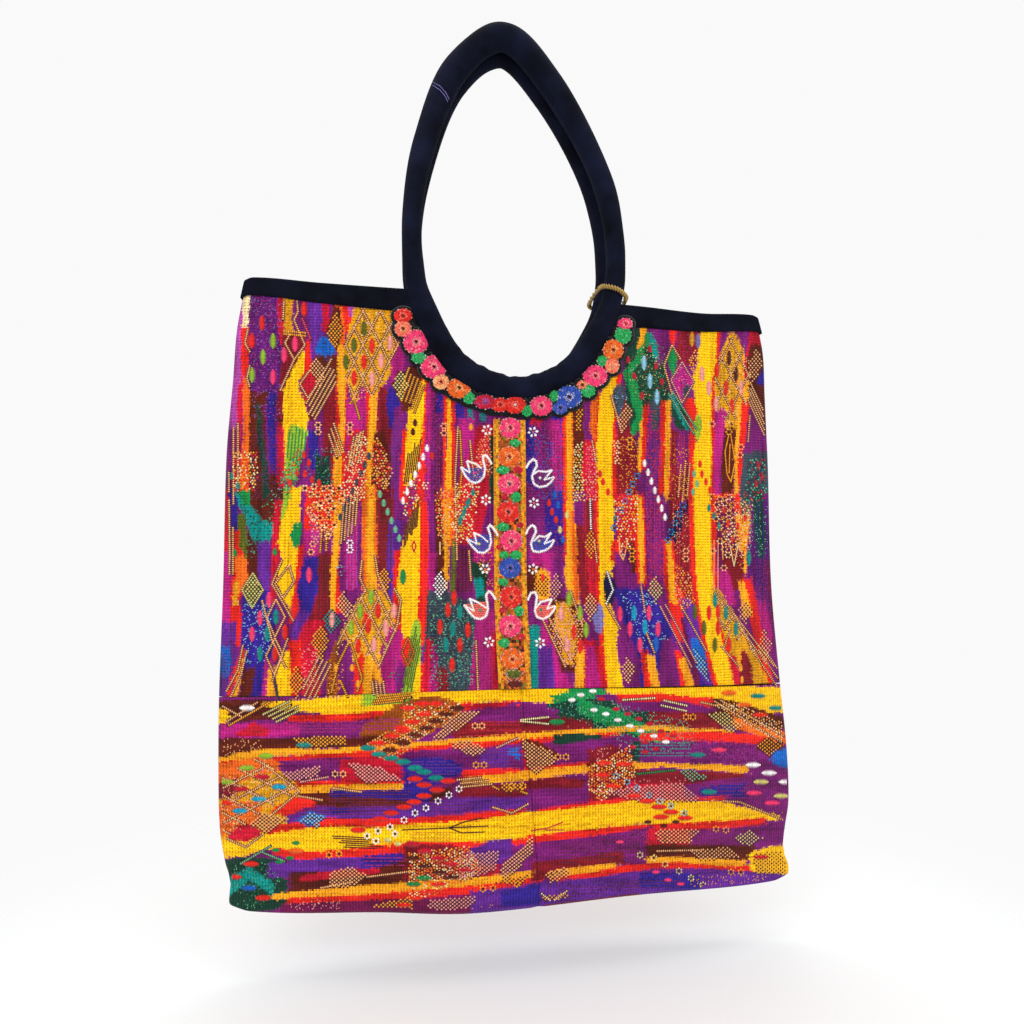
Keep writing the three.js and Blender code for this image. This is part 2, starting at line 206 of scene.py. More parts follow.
EDGE_ROUND = 3.0  # the outer face rounds into the side seam over this width
SEAM_DIP = 0.9  # and dips this far into a sewn seam
SEAM_REACH = 3.5


def outer_face(x, z):
    """Distance of a wall's outer face from the seam plane, rounded at the side seams."""
    to_edge = np.clip((half_width(x, z) - np.abs(x)) / EDGE_ROUND, 0, 1)
    dip = SEAM_DIP * np.exp(-(((z - waist_height(x)) / SEAM_REACH) ** 2))
    return inner_face(x, z) + (CLOTH - dip) * np.sqrt(np.maximum(0, 1 - (1 - to_edge) ** 2))


def smoothstep(at, start, end):
    t = np.clip((at - start) / (end - start), 0, 1)
    return t * t * (3 - 2 * t)


print("swell at the belly:", round(float(outer_face(np.array(0.0), np.array(-600.0))), 1), "mm")

# %% [markdown]
# ## The handles' line
# A handle is one closed loop: up over the hook and down again, then round the neckline as a padded roll. The
# line through its middle is a smooth closed curve through a few named places.

# %% The handles' line
HANDLE = table("x z width", [
    (-8, 10.5, 21),
    (-46, -18, 21),
    (-71, -80, 19),
    (-81, -140, 15.5),
    (-79, -190, 16.5),
    (-69, -221, 20),
    (-43.2, -260.5, 22),
    (1, -274, 18),
    (43, -259, NECK_ROLL),
    (70, -222, NECK_ROLL),
    (80.5, -194, 16.5),
    (82.5, -158, 15.5),
    (72, -100, 17),
    (29, -22, 21),
])
CROWN_OFFSET = HANDLE_DEPTH / 2 + GAP
NECK_FROM = 4  # rows of the table where the neckline starts and ends
NECK_TO = 10


def closed_curve(points, at):
    """Places along a smooth closed curve through points; at counts the points passed."""
    points = np.asarray(points, float)
    first = np.floor(at).astype(int)
    t = (at - first)[:, None]
    p0, p1, p2, p3 = (points[(first + step) % len(points)] for step in (-1, 0, 1, 2))
    d0, d1, d2 = (np.linalg.norm(b - a, axis=1)[:, None] ** 0.5 for a, b in ((p0, p1), (p1, p2), (p2, p3)))
    leave = ((p1 - p0) / d0 - (p2 - p0) / (d0 + d1) + (p2 - p1) / d1) * d1
    arrive = ((p2 - p1) / d1 - (p3 - p1) / (d1 + d2) + (p3 - p2) / d2) * d1
    bend = -3 * p1 + 3 * p2 - 2 * leave - arrive
    return p1 + leave * t + bend * t**2 + (2 * p1 - 2 * p2 + leave + arrive) * t**3


def unit(vectors):
    return vectors / np.linalg.norm(vectors, axis=-1, keepdims=True)


def handle_line(at):
    """Middle of the handle, the unit vector out of its loop and its width, seen from the front."""
    line = np.column_stack((HANDLE["x"], HANDLE["z"]))
    middle = closed_curve(line, at)
    tangent = unit(closed_curve(line, at + 0.01) - closed_curve(line, at - 0.01))
    outward = np.column_stack((tangent[:, 1], -tangent[:, 0]))
    low = np.floor(at).astype(int) % len(HANDLE)
    ease = smoothstep(at - np.floor(at), 0, 1)
    width = HANDLE["width"][low] * (1 - ease) + HANDLE["width"][(low + 1) % len(HANDLE)] * ease
    return middle, outward, width


def handle_stand_off(x, z):
    """Distance of the handle's middle from the seam plane: in the cloth, then leaning in to the crown."""
    rim = rim_height(x)
    lean = smoothstep(z, rim, HANDLE["z"][1])
    at_rim = inner_face(x, np.minimum(z, rim)) + CLOTH / 2
    return at_rim * (1 - lean) + CROWN_OFFSET * lean


def neck_outline(offset):
    """The neckline, this far outside the roll's middle, from left to right and closed above the mouth."""
    at = np.linspace(NECK_FROM, NECK_TO, 60)
    middle, outward, width = handle_line(at)
    edge = middle + outward * (width[:, None] / 2 + offset)
    above = -100
    return np.vstack((edge, [(edge[-1, 0], above), (edge[0, 0], above)]))


def within(outline, x, y):
    """Which points lie inside a closed outline."""
    inside = np.zeros(np.shape(x), bool)
    for (x0, y0), (x1, y1) in zip(outline, np.roll(outline, -1, axis=0)):
        if y0 != y1:
            crosses = (y0 > y) != (y1 > y)
            inside ^= crosses & (x < x0 + (y - y0) * (x1 - x0) / (y1 - y0))
    return inside


NECK = neck_outline(-1.0)
print("neckline from", NECK[0].round(1), "to", NECK[-3].round(1))

# %% [markdown]
# ## Dyes and finishes
# Threads are dyed cotton, so the colours are strong and the surface is matt with a little sheen. A piece
# keeps its colours in an attribute, one colour to each small face or stitch. The finish multiplies them by a
# fine grain, a cell for each thread crossing, gives the cloth its ribs as bump, and paints shade onto the
# sunken threads of the weave.

# %% Dyes
DYES = {
    "yellow": "FBBC08", "amber": "D8950E", "gold": "F4A018", "orange": "EA6418", "red": "E2241A",
    "crimson": "C2142E", "maroon": "7E1522", "brown": "581B10", "umber": "360C0B", "cream": "F3DCA4",
    "peach": "F6AE70", "orchid": "B046A0", "magenta": "AC1C72", "purple": "741A68", "deep": "5E166A",
    "violet": "60268A", "indigo": "301E84", "blue": "1660BC", "sky": "8CC4DC", "teal": "078880",
    "cyan": "069CC0", "green": "158844", "mint": "6FB58C", "forest": "153A2C", "olive": "5C641A",
    "lime": "8FB42C", "sand": "D8CC78", "slate": "3A4450", "lilac": "7C70B0", "white": "F6F0EE",
    "rose": "EE9C94", "pink": "F23A70", "plum": "6A1244", "navy": "141A40", "leaf": "22A552",
    "coral": "F4745C", "sea": "2C4FB0", "pearl": "C4B8BC", "soot": "0C0A0E", "rust": "9A4A14",
}


def dye(name):
    """A dye's colour, turned from display values to light."""
    code = DYES[name]
    shown = np.array([int(code[i : i + 2], 16) / 255 for i in (0, 2, 4)])
    return np.where(shown <= 0.04045, shown / 12.92, ((shown + 0.055) / 1.055) ** 2.4)


print("dyes:", len(DYES))

# %% Nodes of a finish
# Painted shade: the weave's sunken threads are coloured darker and its raised ones lighter.
WEAVE_PAINTED_SHADE = 0.38  # how much darker the sunken threads are
RIB = 0.55  # share of the ribs in the relief of the weave
RIB_WAVER = 0.6
WARP = 2.6 * MM
WEFT = 2.3 * MM


def fresh_material(name, roughness, sheen=0.0, specular=0.3):
    """A new material: its node tree and its shader, with the values that are the same all over."""
    material = bpy.data.materials.new(name)
    material.use_nodes = True
    tree = material.node_tree
    shader = tree.nodes["Principled BSDF"]
    shader.inputs["Roughness"].default_value = roughness
    shader.inputs["Sheen Weight"].default_value = sheen
    shader.inputs["Specular IOR Level"].default_value = specular
    return material, tree, shader


def node(tree, kind, inputs=None, **settings):
    """A new node. Each input is a value, or the output that is linked to it."""
    made = tree.nodes.new("ShaderNode" + kind)
    for name, value in settings.items():
        setattr(made, name, value)
    for name, value in (inputs or {}).items():
        if isinstance(value, bpy.types.NodeSocket):
            tree.links.new(value, made.inputs[name])
        else:
            made.inputs[name].default_value = value
    return made


def object_place(tree):
    return node(tree, "TexCoord").outputs["Object"]


def grain(tree, cell, low, high):
    """A brightness from low to high for each cell of thread, with depth left out."""
    flat = node(tree, "VectorMath", {0: object_place(tree), 1: (1, 0, 1)}, operation="MULTIPLY")
    cells = node(tree, "VectorMath", {0: flat.outputs[0], 1: cell}, operation="SNAP")
    chance = node(tree, "TexWhiteNoise", {"Vector": cells.outputs[0]})
    span = node(tree, "MapRange", {"Value": chance.outputs["Value"], "To Min": low, "To Max": high})
    return span.outputs["Result"]


def wave(tree, direction, period, waver):
    """Rounded bands a period apart."""
    inputs = {"Vector": object_place(tree), "Scale": 2 * pi / (20 * period), "Distortion": waver}
    return node(tree, "TexWave", inputs, wave_type="BANDS", bands_direction=direction).outputs["Fac"]


def ribs(tree, direction, period, high):
    """Ribs whose height goes from minus high to high."""
    inputs = {"Value": wave(tree, direction, period, RIB_WAVER), "To Min": -high, "To Max": high}
    return node(tree, "MapRange", inputs).outputs["Result"]


def weave(tree, weft, warp):
    """A ribbed weave, from -1 to 1: soft checks where warp and weft take turns, and a rib for each weft."""
    turns = {0: ribs(tree, weft, WEFT, 1 - RIB), 1: ribs(tree, warp, WARP, 1)}
    checks = node(tree, "Math", turns, operation="MULTIPLY").outputs[0]
    return node(tree, "Math", {0: checks, 1: ribs(tree, weft, WEFT, RIB)}, operation="ADD").outputs[0]


def raise_threads(tree, shader, height, strength, distance):
    relief = node(tree, "Bump", {"Height": height, "Strength": strength, "Distance": distance})
    tree.links.new(relief.outputs["Normal"], shader.inputs["Normal"])


# %% Dyed finishes


def dyed_finish(name, roughness, sheen, cell, low, high, check=None):
    """Dyed threads: the piece's own colours, a grain of thread cells and, on cloth, a raised weave with
    painted shade on its sunken threads.
    """
    material, tree, shader = fresh_material(name, roughness, sheen, 0.12)
    strength = grain(tree, cell, low, high)
    if check:
        raised = weave(tree, *check)
        raise_threads(tree, shader, raised, 0.7, 0.5 * MM)
        # painted shade and light: the colour follows the height of the weave
        painted_weave_shade = {0: raised, 1: WEAVE_PAINTED_SHADE, 2: strength}
        strength = node(tree, "Math", painted_weave_shade, operation="MULTIPLY_ADD").outputs[0]
    colour = node(tree, "Attribute", attribute_name="dye").outputs["Color"]
    shaded = node(tree, "VectorMath", {0: colour, "Scale": strength}, operation="SCALE")
    tree.links.new(shaded.outputs[0], shader.inputs["Base Color"])
    return material


THREAD_CELL = (0.9 * MM, 1.0, 0.9 * MM)
upper_cloth = dyed_finish("upper brocade", 0.85, 0.05, THREAD_CELL, 0.7, 1.12, ("Z", "X"))
lower_cloth = dyed_finish("turned brocade", 0.85, 0.05, THREAD_CELL, 0.7, 1.12, ("X", "Z"))
thread = dyed_finish("embroidery thread", 0.65, 0.1, (0.7 * MM, 1.0, 0.7 * MM), 0.8, 1.1)

# %% Navy finishes


def navy_finish(name, shade, light, period):
    """Navy cotton: a fine twill, faded a little where it is handled."""
    material, tree, shader = fresh_material(name, 0.9, 0.0, 0.08)
    fade = node(tree, "TexNoise", {"Vector": object_place(tree), "Scale": 38, "Detail": 6})
    ramp = node(tree, "ValToRGB", {"Fac": fade.outputs["Fac"]})
    for stop, position, colour in zip(ramp.color_ramp.elements, (0.35, 0.75), (shade, light)):
        stop.position = position
        stop.color = (*colour, 1)
    tree.links.new(ramp.outputs["Color"], shader.inputs["Base Color"])
    raise_threads(tree, shader, wave(tree, "DIAGONAL", period, 1.5), 0.35, 0.3 * MM)
    return material


navy_cotton = navy_finish("padded navy cotton", (0.0012, 0.0016, 0.0052), (0.0065, 0.0085, 0.025), 0.9 * MM)
navy_tape = navy_finish("navy binding tape", (0.0012, 0.0015, 0.004), (0.0055, 0.007, 0.018), 0.8 * MM)
print("finishes:", len(bpy.data.materials))

# %% [markdown]
# ## Walls of cloth
# Each wall starts as a flat grid, with one side of its square standing for the way across the cloth and the
# other for the way up it. Where the neckline is cut out, faces are deleted and the edge is drawn onto the
# curve. Solidify gives it two sides, and only the outer one, which shows, is subdivided. Last of all, every
# point is settled on the hanging form. A sheet with holes and a rolled bottom is quicker to make this way
# than by bending it by hand.

# %% Cutting cloth
FINER = 7  # fine cells to a coarse one, each way
BAND_FINER = 6
BACK_FINER = 4  # the back shows less, so it gets fewer
THIN = 0.01  # a grid is this thick until its points are settled
INNER_UV = 0.12  # share of the bake map that the plain inner side gets


def deselected():
    bpy.ops.object.select_all(action="DESELECT")


def vertex_places(mesh):
    places = np.empty(len(mesh.vertices) * 3)
    mesh.vertices.foreach_get("co", places)
    return places.reshape(-1, 3)


def select_faces(piece, chosen):
    """Goes into edit mode with just these faces selected."""
    bpy.context.tool_settings.mesh_select_mode = (False, False, True)
    mesh = piece.data
    mesh.vertices.foreach_set("select", np.zeros(len(mesh.vertices), bool))
    mesh.edges.foreach_set("select", np.zeros(len(mesh.edges), bool))
    mesh.polygons.foreach_set("select", chosen)
    bpy.ops.object.mode_set(mode="EDIT")


def open_neck(piece, place, share):
    """Deletes the faces inside the neckline and draws the edge that is left onto it."""
    mesh = piece.data
    flat = vertex_places(mesh)
    x, z = place(flat[:, 0] + 0.5, flat[:, 1] + 0.5)
    inside = within(NECK, x, z)
    edge = NECK[:-2]
    for i in np.flatnonzero(inside):
        nearest = np.argmin(np.hypot(edge[:, 0] - x[i], edge[:, 1] - z[i]))
        across, up = share(*edge[nearest])
        flat[i, :2] = across - 0.5, min(up, 1) - 0.5
    goes = [all(inside[corner] for corner in face.vertices) for face in mesh.polygons]
    mesh.vertices.foreach_set("co", flat.ravel())
    select_faces(piece, goes)
    bpy.ops.mesh.delete(type="FACE")
    bpy.ops.object.mode_set(mode="OBJECT")


def thicken(piece, thickness):
    """Gives the active sheet a second side, behind it."""
    solid = piece.modifiers.new("thickness", "SOLIDIFY")
    solid.thickness = thickness
    solid.offset = -1
    bpy.ops.object.modifier_apply(modifier="thickness")


# %% A wall of cloth


def cloth_wall(name, across, up, finer, settle, neck=None):
    """A wall of cloth: a grid with two sides, the outer one fine, settled on the hanging form."""
    deselected()
    bpy.ops.mesh.primitive_grid_add(x_subdivisions=across, y_subdivisions=up, size=1)
    piece = bpy.context.object
    piece.name = name
    if neck:
        open_neck(piece, *neck)
    thicken(piece, THIN)
    mesh = piece.data
    select_faces(piece, [face.normal.z > 0.5 for face in mesh.polygons])
    bpy.ops.mesh.subdivide(number_cuts=finer - 1)
    bpy.ops.object.mode_set(mode="OBJECT")
    flat = vertex_places(mesh)
    outer = flat[:, 2] > -THIN / 2
    share = flat[:, :2] + 0.5
    mesh.vertices.foreach_set("co", (settle(share[:, 0], share[:, 1], outer) * MM).ravel())
    corner = np.empty(len(mesh.loops), int)
    mesh.loops.foreach_get("vertex_index", corner)
    low = np.where(outer[corner], INNER_UV, 0)
    high = np.where(outer[corner], 1 - INNER_UV, INNER_UV)
    bake = np.column_stack((share[corner, 0], low + high * share[corner, 1]))
    mesh.uv_layers[0].name = "OFBake"
    mesh.uv_layers[0].data.foreach_set("uv", bake.ravel())
    mesh.shade_smooth()
    mesh.update()
    return piece


# %% Dressing a piece


def new_piece(name, points, faces):
    """An object from points in millimetres and the faces that join them."""
    mesh = bpy.data.meshes.new(name)
    mesh.from_pydata(points * MM, [], faces)
    piece = bpy.data.objects.new(name, mesh)
    bpy.context.collection.objects.link(piece)
    return piece


def dress(piece, material, slot, *nodes):
    """Gives a piece its finish, hangs it on the root body and hides the nodes of the model that it stands
    for, if any are named.
    """
    piece.data.materials.clear()
    piece.data.materials.append(material)
    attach(piece, "root")
    if nodes:
        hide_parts(*nodes)
    triangles = sum(len(face.vertices) - 2 for face in piece.data.polygons)
    print(piece.name, triangles, "triangles")


# %% [markdown]
# ## The upper walls
# Front and back are the width of one loom, with the pattern running up and down. They hang from the mouth to
# the waist seam. The same two functions say where a share of the cloth lies and which share lies at a place,
# because the neckline is drawn on the bag and cut from the flat cloth.

# %% The upper walls
UPPER_GRID = (48, 36)
NOMINAL_HEIGHT = -190
TOP_HEM = 2 * TAPE + GAP


def upper_ends(share):
    """Top and bottom of the upper cloth, at a share from -1 to 1 of the way across."""
    nominal = share * half_width(share, np.full_like(share, NOMINAL_HEIGHT))
    return rim_height(nominal) - TOP_HEM, waist_height(nominal)


def upper_place(across, up):
    """Where a share of the upper cloth lies, seen from the front."""
    share = 2 * across - 1
    top, low = upper_ends(share)
    z = low + (top - low) * up
    return share * half_width(share, z), z


def upper_share(x, z):
    """Which share of the upper cloth lies at a place: upper_place the other way round."""
    x = np.asarray(x, float)
    share = x / half_width(x, np.asarray(z, float))
    top, low = upper_ends(share)
    return (share + 1) / 2, (z - low) / (top - low)


def front_settle(across, up, outer):
    x, z = upper_place(across, up)
    depth = np.where(outer, outer_face(x, z), inner_face(x, z))
    return np.column_stack((x, -depth, z))


def back_settle(across, up, outer):
    return front_settle(1 - across, up, outer) * (1, -1, 1)


def mirrored_place(across, up):
    return upper_place(1 - across, up)


def mirrored_share(x, z):
    across, up = upper_share(x, z)
    return 1 - across, up


front_panel = cloth_wall("front_panel_cloth", *UPPER_GRID, FINER, front_settle, (upper_place, upper_share))
mirrored = (mirrored_place, mirrored_share)
back_panel = cloth_wall("back_panel_cloth", *UPPER_GRID, BACK_FINER, back_settle, mirrored)
dress(front_panel, upper_cloth, "brocade", "front_panel")
dress(back_panel, upper_cloth, "brocade", "back_panel")

# %% [markdown]
# ## The lower band
# The same cloth, turned on its side, makes the bottom of the bag. Each half runs down the front, round the
# soft fold at the bottom and up the back, and the halves meet at a slanting seam in the middle.

# %% The lower band
LOWER_GRID = (30, 44)
FOLD_FROM = 0.4  # share of the way down the band where it starts to fold under
FOLD_SPAN = 0.2
WIDE_HEIGHT = -676


def lower_settle(side):
    def settle(across, up, outer):
        down = 1 - up
        inward = across if side < 0 else 1 - across
        edge = side * half_width(np.full_like(down, side), np.full_like(down, WIDE_HEIGHT))
        seam = centre_seam(np.full_like(down, WIDE_HEIGHT)) + side * GAP / 2
        nominal = edge + (seam - edge) * inward
        along = np.clip(np.minimum(down, 1 - down) / FOLD_FROM, 0, 1)
        top = waist_height(nominal) - GAP
        z = top + (bottom_height(nominal) - top) * along
        edge = side * half_width(np.full_like(z, side), z)
        seam = centre_seam(z) + side * GAP / 2
        x = edge + (seam - edge) * inward
        face = np.where(outer, outer_face(x, z), inner_face(x, z))
        to_seam = np.abs(x - seam)
        face = face - np.where(outer, SEAM_DIP * np.exp(-((to_seam / SEAM_REACH) ** 2)), 0)
        turn = np.clip((down - FOLD_FROM) / FOLD_SPAN, 0, 1) * pi
        return np.column_stack((x, -np.cos(turn) * face, z - np.sin(turn) * FOLD_ROUND * face))

    return settle


lower_left = cloth_wall("lower_left_cloth", *LOWER_GRID, BAND_FINER, lower_settle(-1))
lower_right = cloth_wall("lower_right_cloth", *LOWER_GRID, BAND_FINER, lower_settle(1))
dress(lower_left, lower_cloth, "band_cloth", "lower_left")
dress(lower_right, lower_cloth, "band_cloth", "lower_right")

# %% [markdown]
# ## The padded handles
# A handle is a navy cotton tube stuffed with wadding, and its lower half is the roll sewn round the neckline.
# Rings of points are set round the handle's line and joined to the next ring, which is how any tube can be
# made. The stuffing is uneven, so the radius wanders, and the cloth puckers where the roll bends tightest.

# %% The padded handles
HANDLE_RINGS = 280
HANDLE_SIDES = 24
LUMPS = (0.018, 0.014)  # shares of the radius that the lumps add
PUCKERS = (0.05, 0.03)
TIGHTEST = 6.9  # where along the handle the roll bends tightest
TIGHT_REACH = 1.1
FLATTEST = 1.03  # the padding is no thicker than this, front to back


def tube(name, rings, closed):
    """A closed skin over rings of points: joined end to end, or capped at both ends."""
    count, sides = rings.shape[:2]
    faces = []
    for ring in range(count if closed else count - 1):
        here = ring * sides
        there = (ring + 1) % count * sides
        for side in range(sides):
            after = (side + 1) % sides
            faces.append((here + side, here + after, there + after, there + side))
    if not closed:
        faces.append(tuple(range(sides))[::-1])
        faces.append(tuple(range((count - 1) * sides, count * sides)))
    piece = new_piece(name, rings.reshape(-1, 3), faces)
    faces_out(piece)
    piece.data.shade_smooth()
    return piece


def faces_out(piece):
    """Turns all faces outwards."""
    deselected()
    bpy.context.view_layer.objects.active = piece
    piece.select_set(True)
    select_faces(piece, np.ones(len(piece.data.polygons), bool))
    bpy.ops.mesh.normals_make_consistent(inside=False)
    bpy.ops.object.mode_set(mode="OBJECT")


def stuffing(at, angle):
    """How the radius wanders: slow lumps all along, and puckers at the tight bend of the neck."""
    lumps = LUMPS[0] * np.sin(5.3 * at + 2 * np.sin(1.7 * at)) + LUMPS[1] * np.sin(2.9 * at + angle)
    tight = np.exp(-(((at - TIGHTEST) / TIGHT_REACH) ** 2)) * np.maximum(0, -np.cos(angle))
    puckers = PUCKERS[0] * np.sin(19 * at + 1.5 * np.sin(angle)) + PUCKERS[1] * np.sin(31 * at)
    return 1 + lumps + tight * puckers


def padded_handle(name, side):
    at = np.arange(HANDLE_RINGS) * len(HANDLE) / HANDLE_RINGS
    middle, outward, width = handle_line(at)
    depth = handle_stand_off(middle[:, 0], middle[:, 1])
    angle = np.arange(HANDLE_SIDES) * 2 * pi / HANDLE_SIDES
    radius = stuffing(at[:, None], angle[None, :])
    across = radius * np.cos(angle) * width[:, None] / 2
    through = np.minimum(radius, FLATTEST) * np.sin(angle) * HANDLE_DEPTH / 2
    x = middle[:, :1] + outward[:, :1] * across
    z = middle[:, 1:] + outward[:, 1:] * across
    return tube(name, np.stack((x, side * (depth[:, None] + through), z), axis=-1), closed=True)


front_handle = padded_handle("front_handle_padding", -1)
back_handle = padded_handle("back_handle_padding", 1)
dress(front_handle, navy_cotton, "navy_cotton", "front_handle")
dress(back_handle, navy_cotton, "navy_cotton", "back_handle")

# %% [markdown]
# ## The binding of the mouth
# Navy tape is folded over the raw edge, from one handle round the side seam to the other. Its section is a
# narrow upside-down U. Rings of that section follow the edge and are joined like a tube's.

# %% The binding of the mouth
BINDING_LEG = 30
BINDING_TURN = 9
TAPE_AT_HANDLE = 18.5
TAPE_AT_CORNER = 14.5
TAPE_START = 70
CORNER_DROP = 1
CORNER_RISE = 2
CORNER_ROUND = 0.45
CLOTH_SIDE = CLOTH / 2 + GAP  # from the middle of the cloth to the tape's inner face
TAPE_SIDE = CLOTH_SIDE + TAPE


def tape_section(height):
    """The folded tape's outline: how far out from the cloth's middle, and how far down from the top."""
    arch = np.linspace(0, pi, 9)
    drops = np.linspace(1, 0.15, 7)
    out = [np.full(7, TAPE_SIDE), TAPE_SIDE * np.cos(arch), np.full(7, -TAPE_SIDE)]
    down = [height * drops, TAPE * (1.4 - 1.4 * np.sin(arch)), height * drops[::-1]]
    out.append(np.array((-CLOTH_SIDE, -CLOTH_SIDE, CLOTH_SIDE, CLOTH_SIDE)))
    down.append(np.array((height, 2 * TAPE, 2 * TAPE, height)))
    return np.concatenate(out), np.concatenate(down)


def binding(name, sign):
    tip = float(half_width(sign, SECTIONS["z"][-1]))
    start = TAPE_START / tip
    share = 1 - (1 - start) * (1 - np.sin(np.linspace(0, pi / 2, BINDING_LEG)))
    turns = np.linspace(0, pi, BINDING_TURN)[1:-1]
    shares = np.concatenate((share, np.ones(len(turns)), share[::-1]))
    turn = np.concatenate((np.zeros(BINDING_LEG), turns, np.full(BINDING_LEG, pi)))
    rings = []
    for part, bend in zip(shares, turn):
        top = rim_height(np.array(sign * part * tip)) - CORNER_DROP * sin(bend) ** 2
        taper = smoothstep(part, start, 1)
        height = TAPE_AT_HANDLE + (TAPE_AT_CORNER - TAPE_AT_HANDLE) * taper - CORNER_RISE * sin(bend) ** 2
        out, down = tape_section(height)
        x = sign * part * half_width(np.full_like(down, sign), top - down)
        stand = inner_face(x, top - np.maximum(down, TAPE)) + CLOTH / 2 + out
        x = x + sign * CORNER_ROUND * sin(bend) * stand
        rings.append(np.column_stack((x, -cos(bend) * stand, top - down)))
    return tube(name, np.array(rings), closed=False)


binding_left = binding("left_binding_tape", -1)
binding_right = binding("right_binding_tape", 1)
dress(binding_left, navy_tape, "navy_tape", "binding_left")
dress(binding_right, navy_tape, "navy_tape", "binding_right")

# %% [markdown]
# ## The gold tie
# A gold cord is looped round both handles on the right. It is two strands twisted together: each is a thin
# tube whose middle winds round the cord's own line.

# %% The gold tie
TIE_AT = (80.2, -194.5)
TIE_SLOPE = -0.4
TIE_SLACK = 0.5
TIE_RADIUS = 1.6
STRAND = 1.15
STRAND_OFF = 0.75 * STRAND  # from the cord's line to the middle of a strand
TIE_TWISTS = 24
TIE_RINGS = 320
TIE_SIDES = 6


def tie_line():
    """Places that the cord passes: over the front handle, and back behind the other."""
    across = HANDLE["width"][NECK_TO] / 2 + GAP + TIE_RADIUS + TIE_SLACK
    stand = handle_stand_off(np.array(TIE_AT[0]), np.array(TIE_AT[1]))
    places = []
    for side in (-1, 1):
        for share in (-1, -0.6, 0, 0.6, 1):
            x = TIE_AT[0] - side * sin(share * pi / 2) * across
            y = side * (stand + cos(share * pi / 2) * (HANDLE_DEPTH / 2 + GAP + TIE_RADIUS))
            places.append((x, y, TIE_AT[1] + TIE_SLOPE * (x - TIE_AT[0])))
    return np.array(places)


def strand(name, start):
    line = tie_line()
    at = np.arange(TIE_RINGS) * len(line) / TIE_RINGS
    middle = closed_curve(line, at)
    tangent = unit(closed_curve(line, at + 0.01) - closed_curve(line, at - 0.01))
    level = unit(np.cross((0, 0, 1.0), tangent))
    upward = np.cross(tangent, level)
    wind = start + 2 * pi * TIE_TWISTS * at / len(line)
    middle = middle + STRAND_OFF * (level * np.cos(wind)[:, None] + upward * np.sin(wind)[:, None])
    angle = np.arange(TIE_SIDES) * 2 * pi / TIE_SIDES
    ring = level[:, None] * np.cos(angle)[:, None] + upward[:, None] * np.sin(angle)[:, None]
    return tube(name, middle[:, None] + STRAND * ring, closed=True)


tie = strand("gold_tie", 0)
second = strand("second_strand", pi)
deselected()
second.select_set(True)
tie.select_set(True)
bpy.context.view_layer.objects.active = tie
bpy.ops.object.join()
gold_thread, gold_tree, gold_shader = fresh_material("gold thread", 0.45, 0.1, 0.5)
gold_shader.inputs["Base Color"].default_value = (0.36, 0.22, 0.045, 1)
gold_shader.inputs["Metallic"].default_value = 0.25
dress(tie, gold_thread, "gold_cord", "tie_cord")

# %% [markdown]
# ## The collar and the flowered strip
# Both are appliqué: a strip of cloth, cut to shape and sewn flat on the front. Two sheets of points, one for
# each side, are joined round their edge. The collar's outer edge is cut in scallops.

# %% The collar and the flowered strip
COLLAR_FROM = 4.92
COLLAR_TO = 8.96
SCALLOPS = 13
COLLAR_REACH = NECK_ROLL / 2 + 15.5
SCALLOP_DEPTH = 2.4
PLACKET_WIDTH = 25.5
PLACKET_TOP = -300
COLLAR_GRID = (157, 6)
PLACKET_GRID = (90, 14)
PLACKET_LINE = table("z x", [(-514, -2), (-450, -4.6), (-300, -5.3)])


def patch_depth(x, z):
    """How far the top of an appliqué patch stands from the seam plane."""
    return outer_face(x, z) + PATCH_GAP + PATCH


def slab(name, x, z):
    """A patch of cloth from rows of points on the front: two sides, joined round the edge."""
    deselected()
    rows, columns = x.shape
    front = np.stack((x, -patch_depth(x, z), z), axis=-1).reshape(-1, 3)
    index = np.arange(rows * columns).reshape(rows, columns)
    faces = np.stack((index[:-1, :-1], index[:-1, 1:], index[1:, 1:], index[1:, :-1]), axis=-1).reshape(-1, 4)
    piece = new_piece(name, front, faces)
    mesh = piece.data
    mesh.update()
    if sum(face.normal.y * face.area for face in mesh.polygons) > 0:
        mesh.flip_normals()
    bpy.context.view_layer.objects.active = piece
    piece.select_set(True)
    thicken(piece, PATCH * MM)
    mesh.shade_smooth()
    return piece


def collar_edges(count):
    """The collar's inner and outer edges along the neckline."""
    run = np.linspace(0, 1, count)
    middle, outward, width = handle_line(COLLAR_FROM + (COLLAR_TO - COLLAR_FROM) * run)
    outer = COLLAR_REACH - SCALLOP_DEPTH * (1 - np.abs(np.sin(run * SCALLOPS * pi)))
    inner = width / 2 + GAP
    ends = smoothstep(np.minimum(run, 1 - run), 0, 0.02)
    outer = inner + (outer - inner) * (0.4 + 0.6 * ends)
    return middle + outward * inner[:, None], middle + outward * outer[:, None]


def collar_points(count, rows):
    inner, outer = collar_edges(count)
    share = np.linspace(0, 1, rows)[:, None, None]
    points = inner * (1 - share) + outer * share
    return points[..., 0], points[..., 1]


def placket_points(rows, columns):
    aside = np.linspace(-0.5, 0.5, columns) * PLACKET_WIDTH
    low = waist_height(aside) + GAP
    z = PLACKET_TOP + np.linspace(0, 1, rows)[:, None] * (low - PLACKET_TOP)
    return value_at(PLACKET_LINE, "z", "x", z) + aside, z


collar = slab("collar_cloth", *collar_points(*COLLAR_GRID))
placket = slab("placket_cloth", *placket_points(*PLACKET_GRID))
dress(collar, thread, "embroidery", "collar")
dress(placket, thread, "embroidery", "placket")
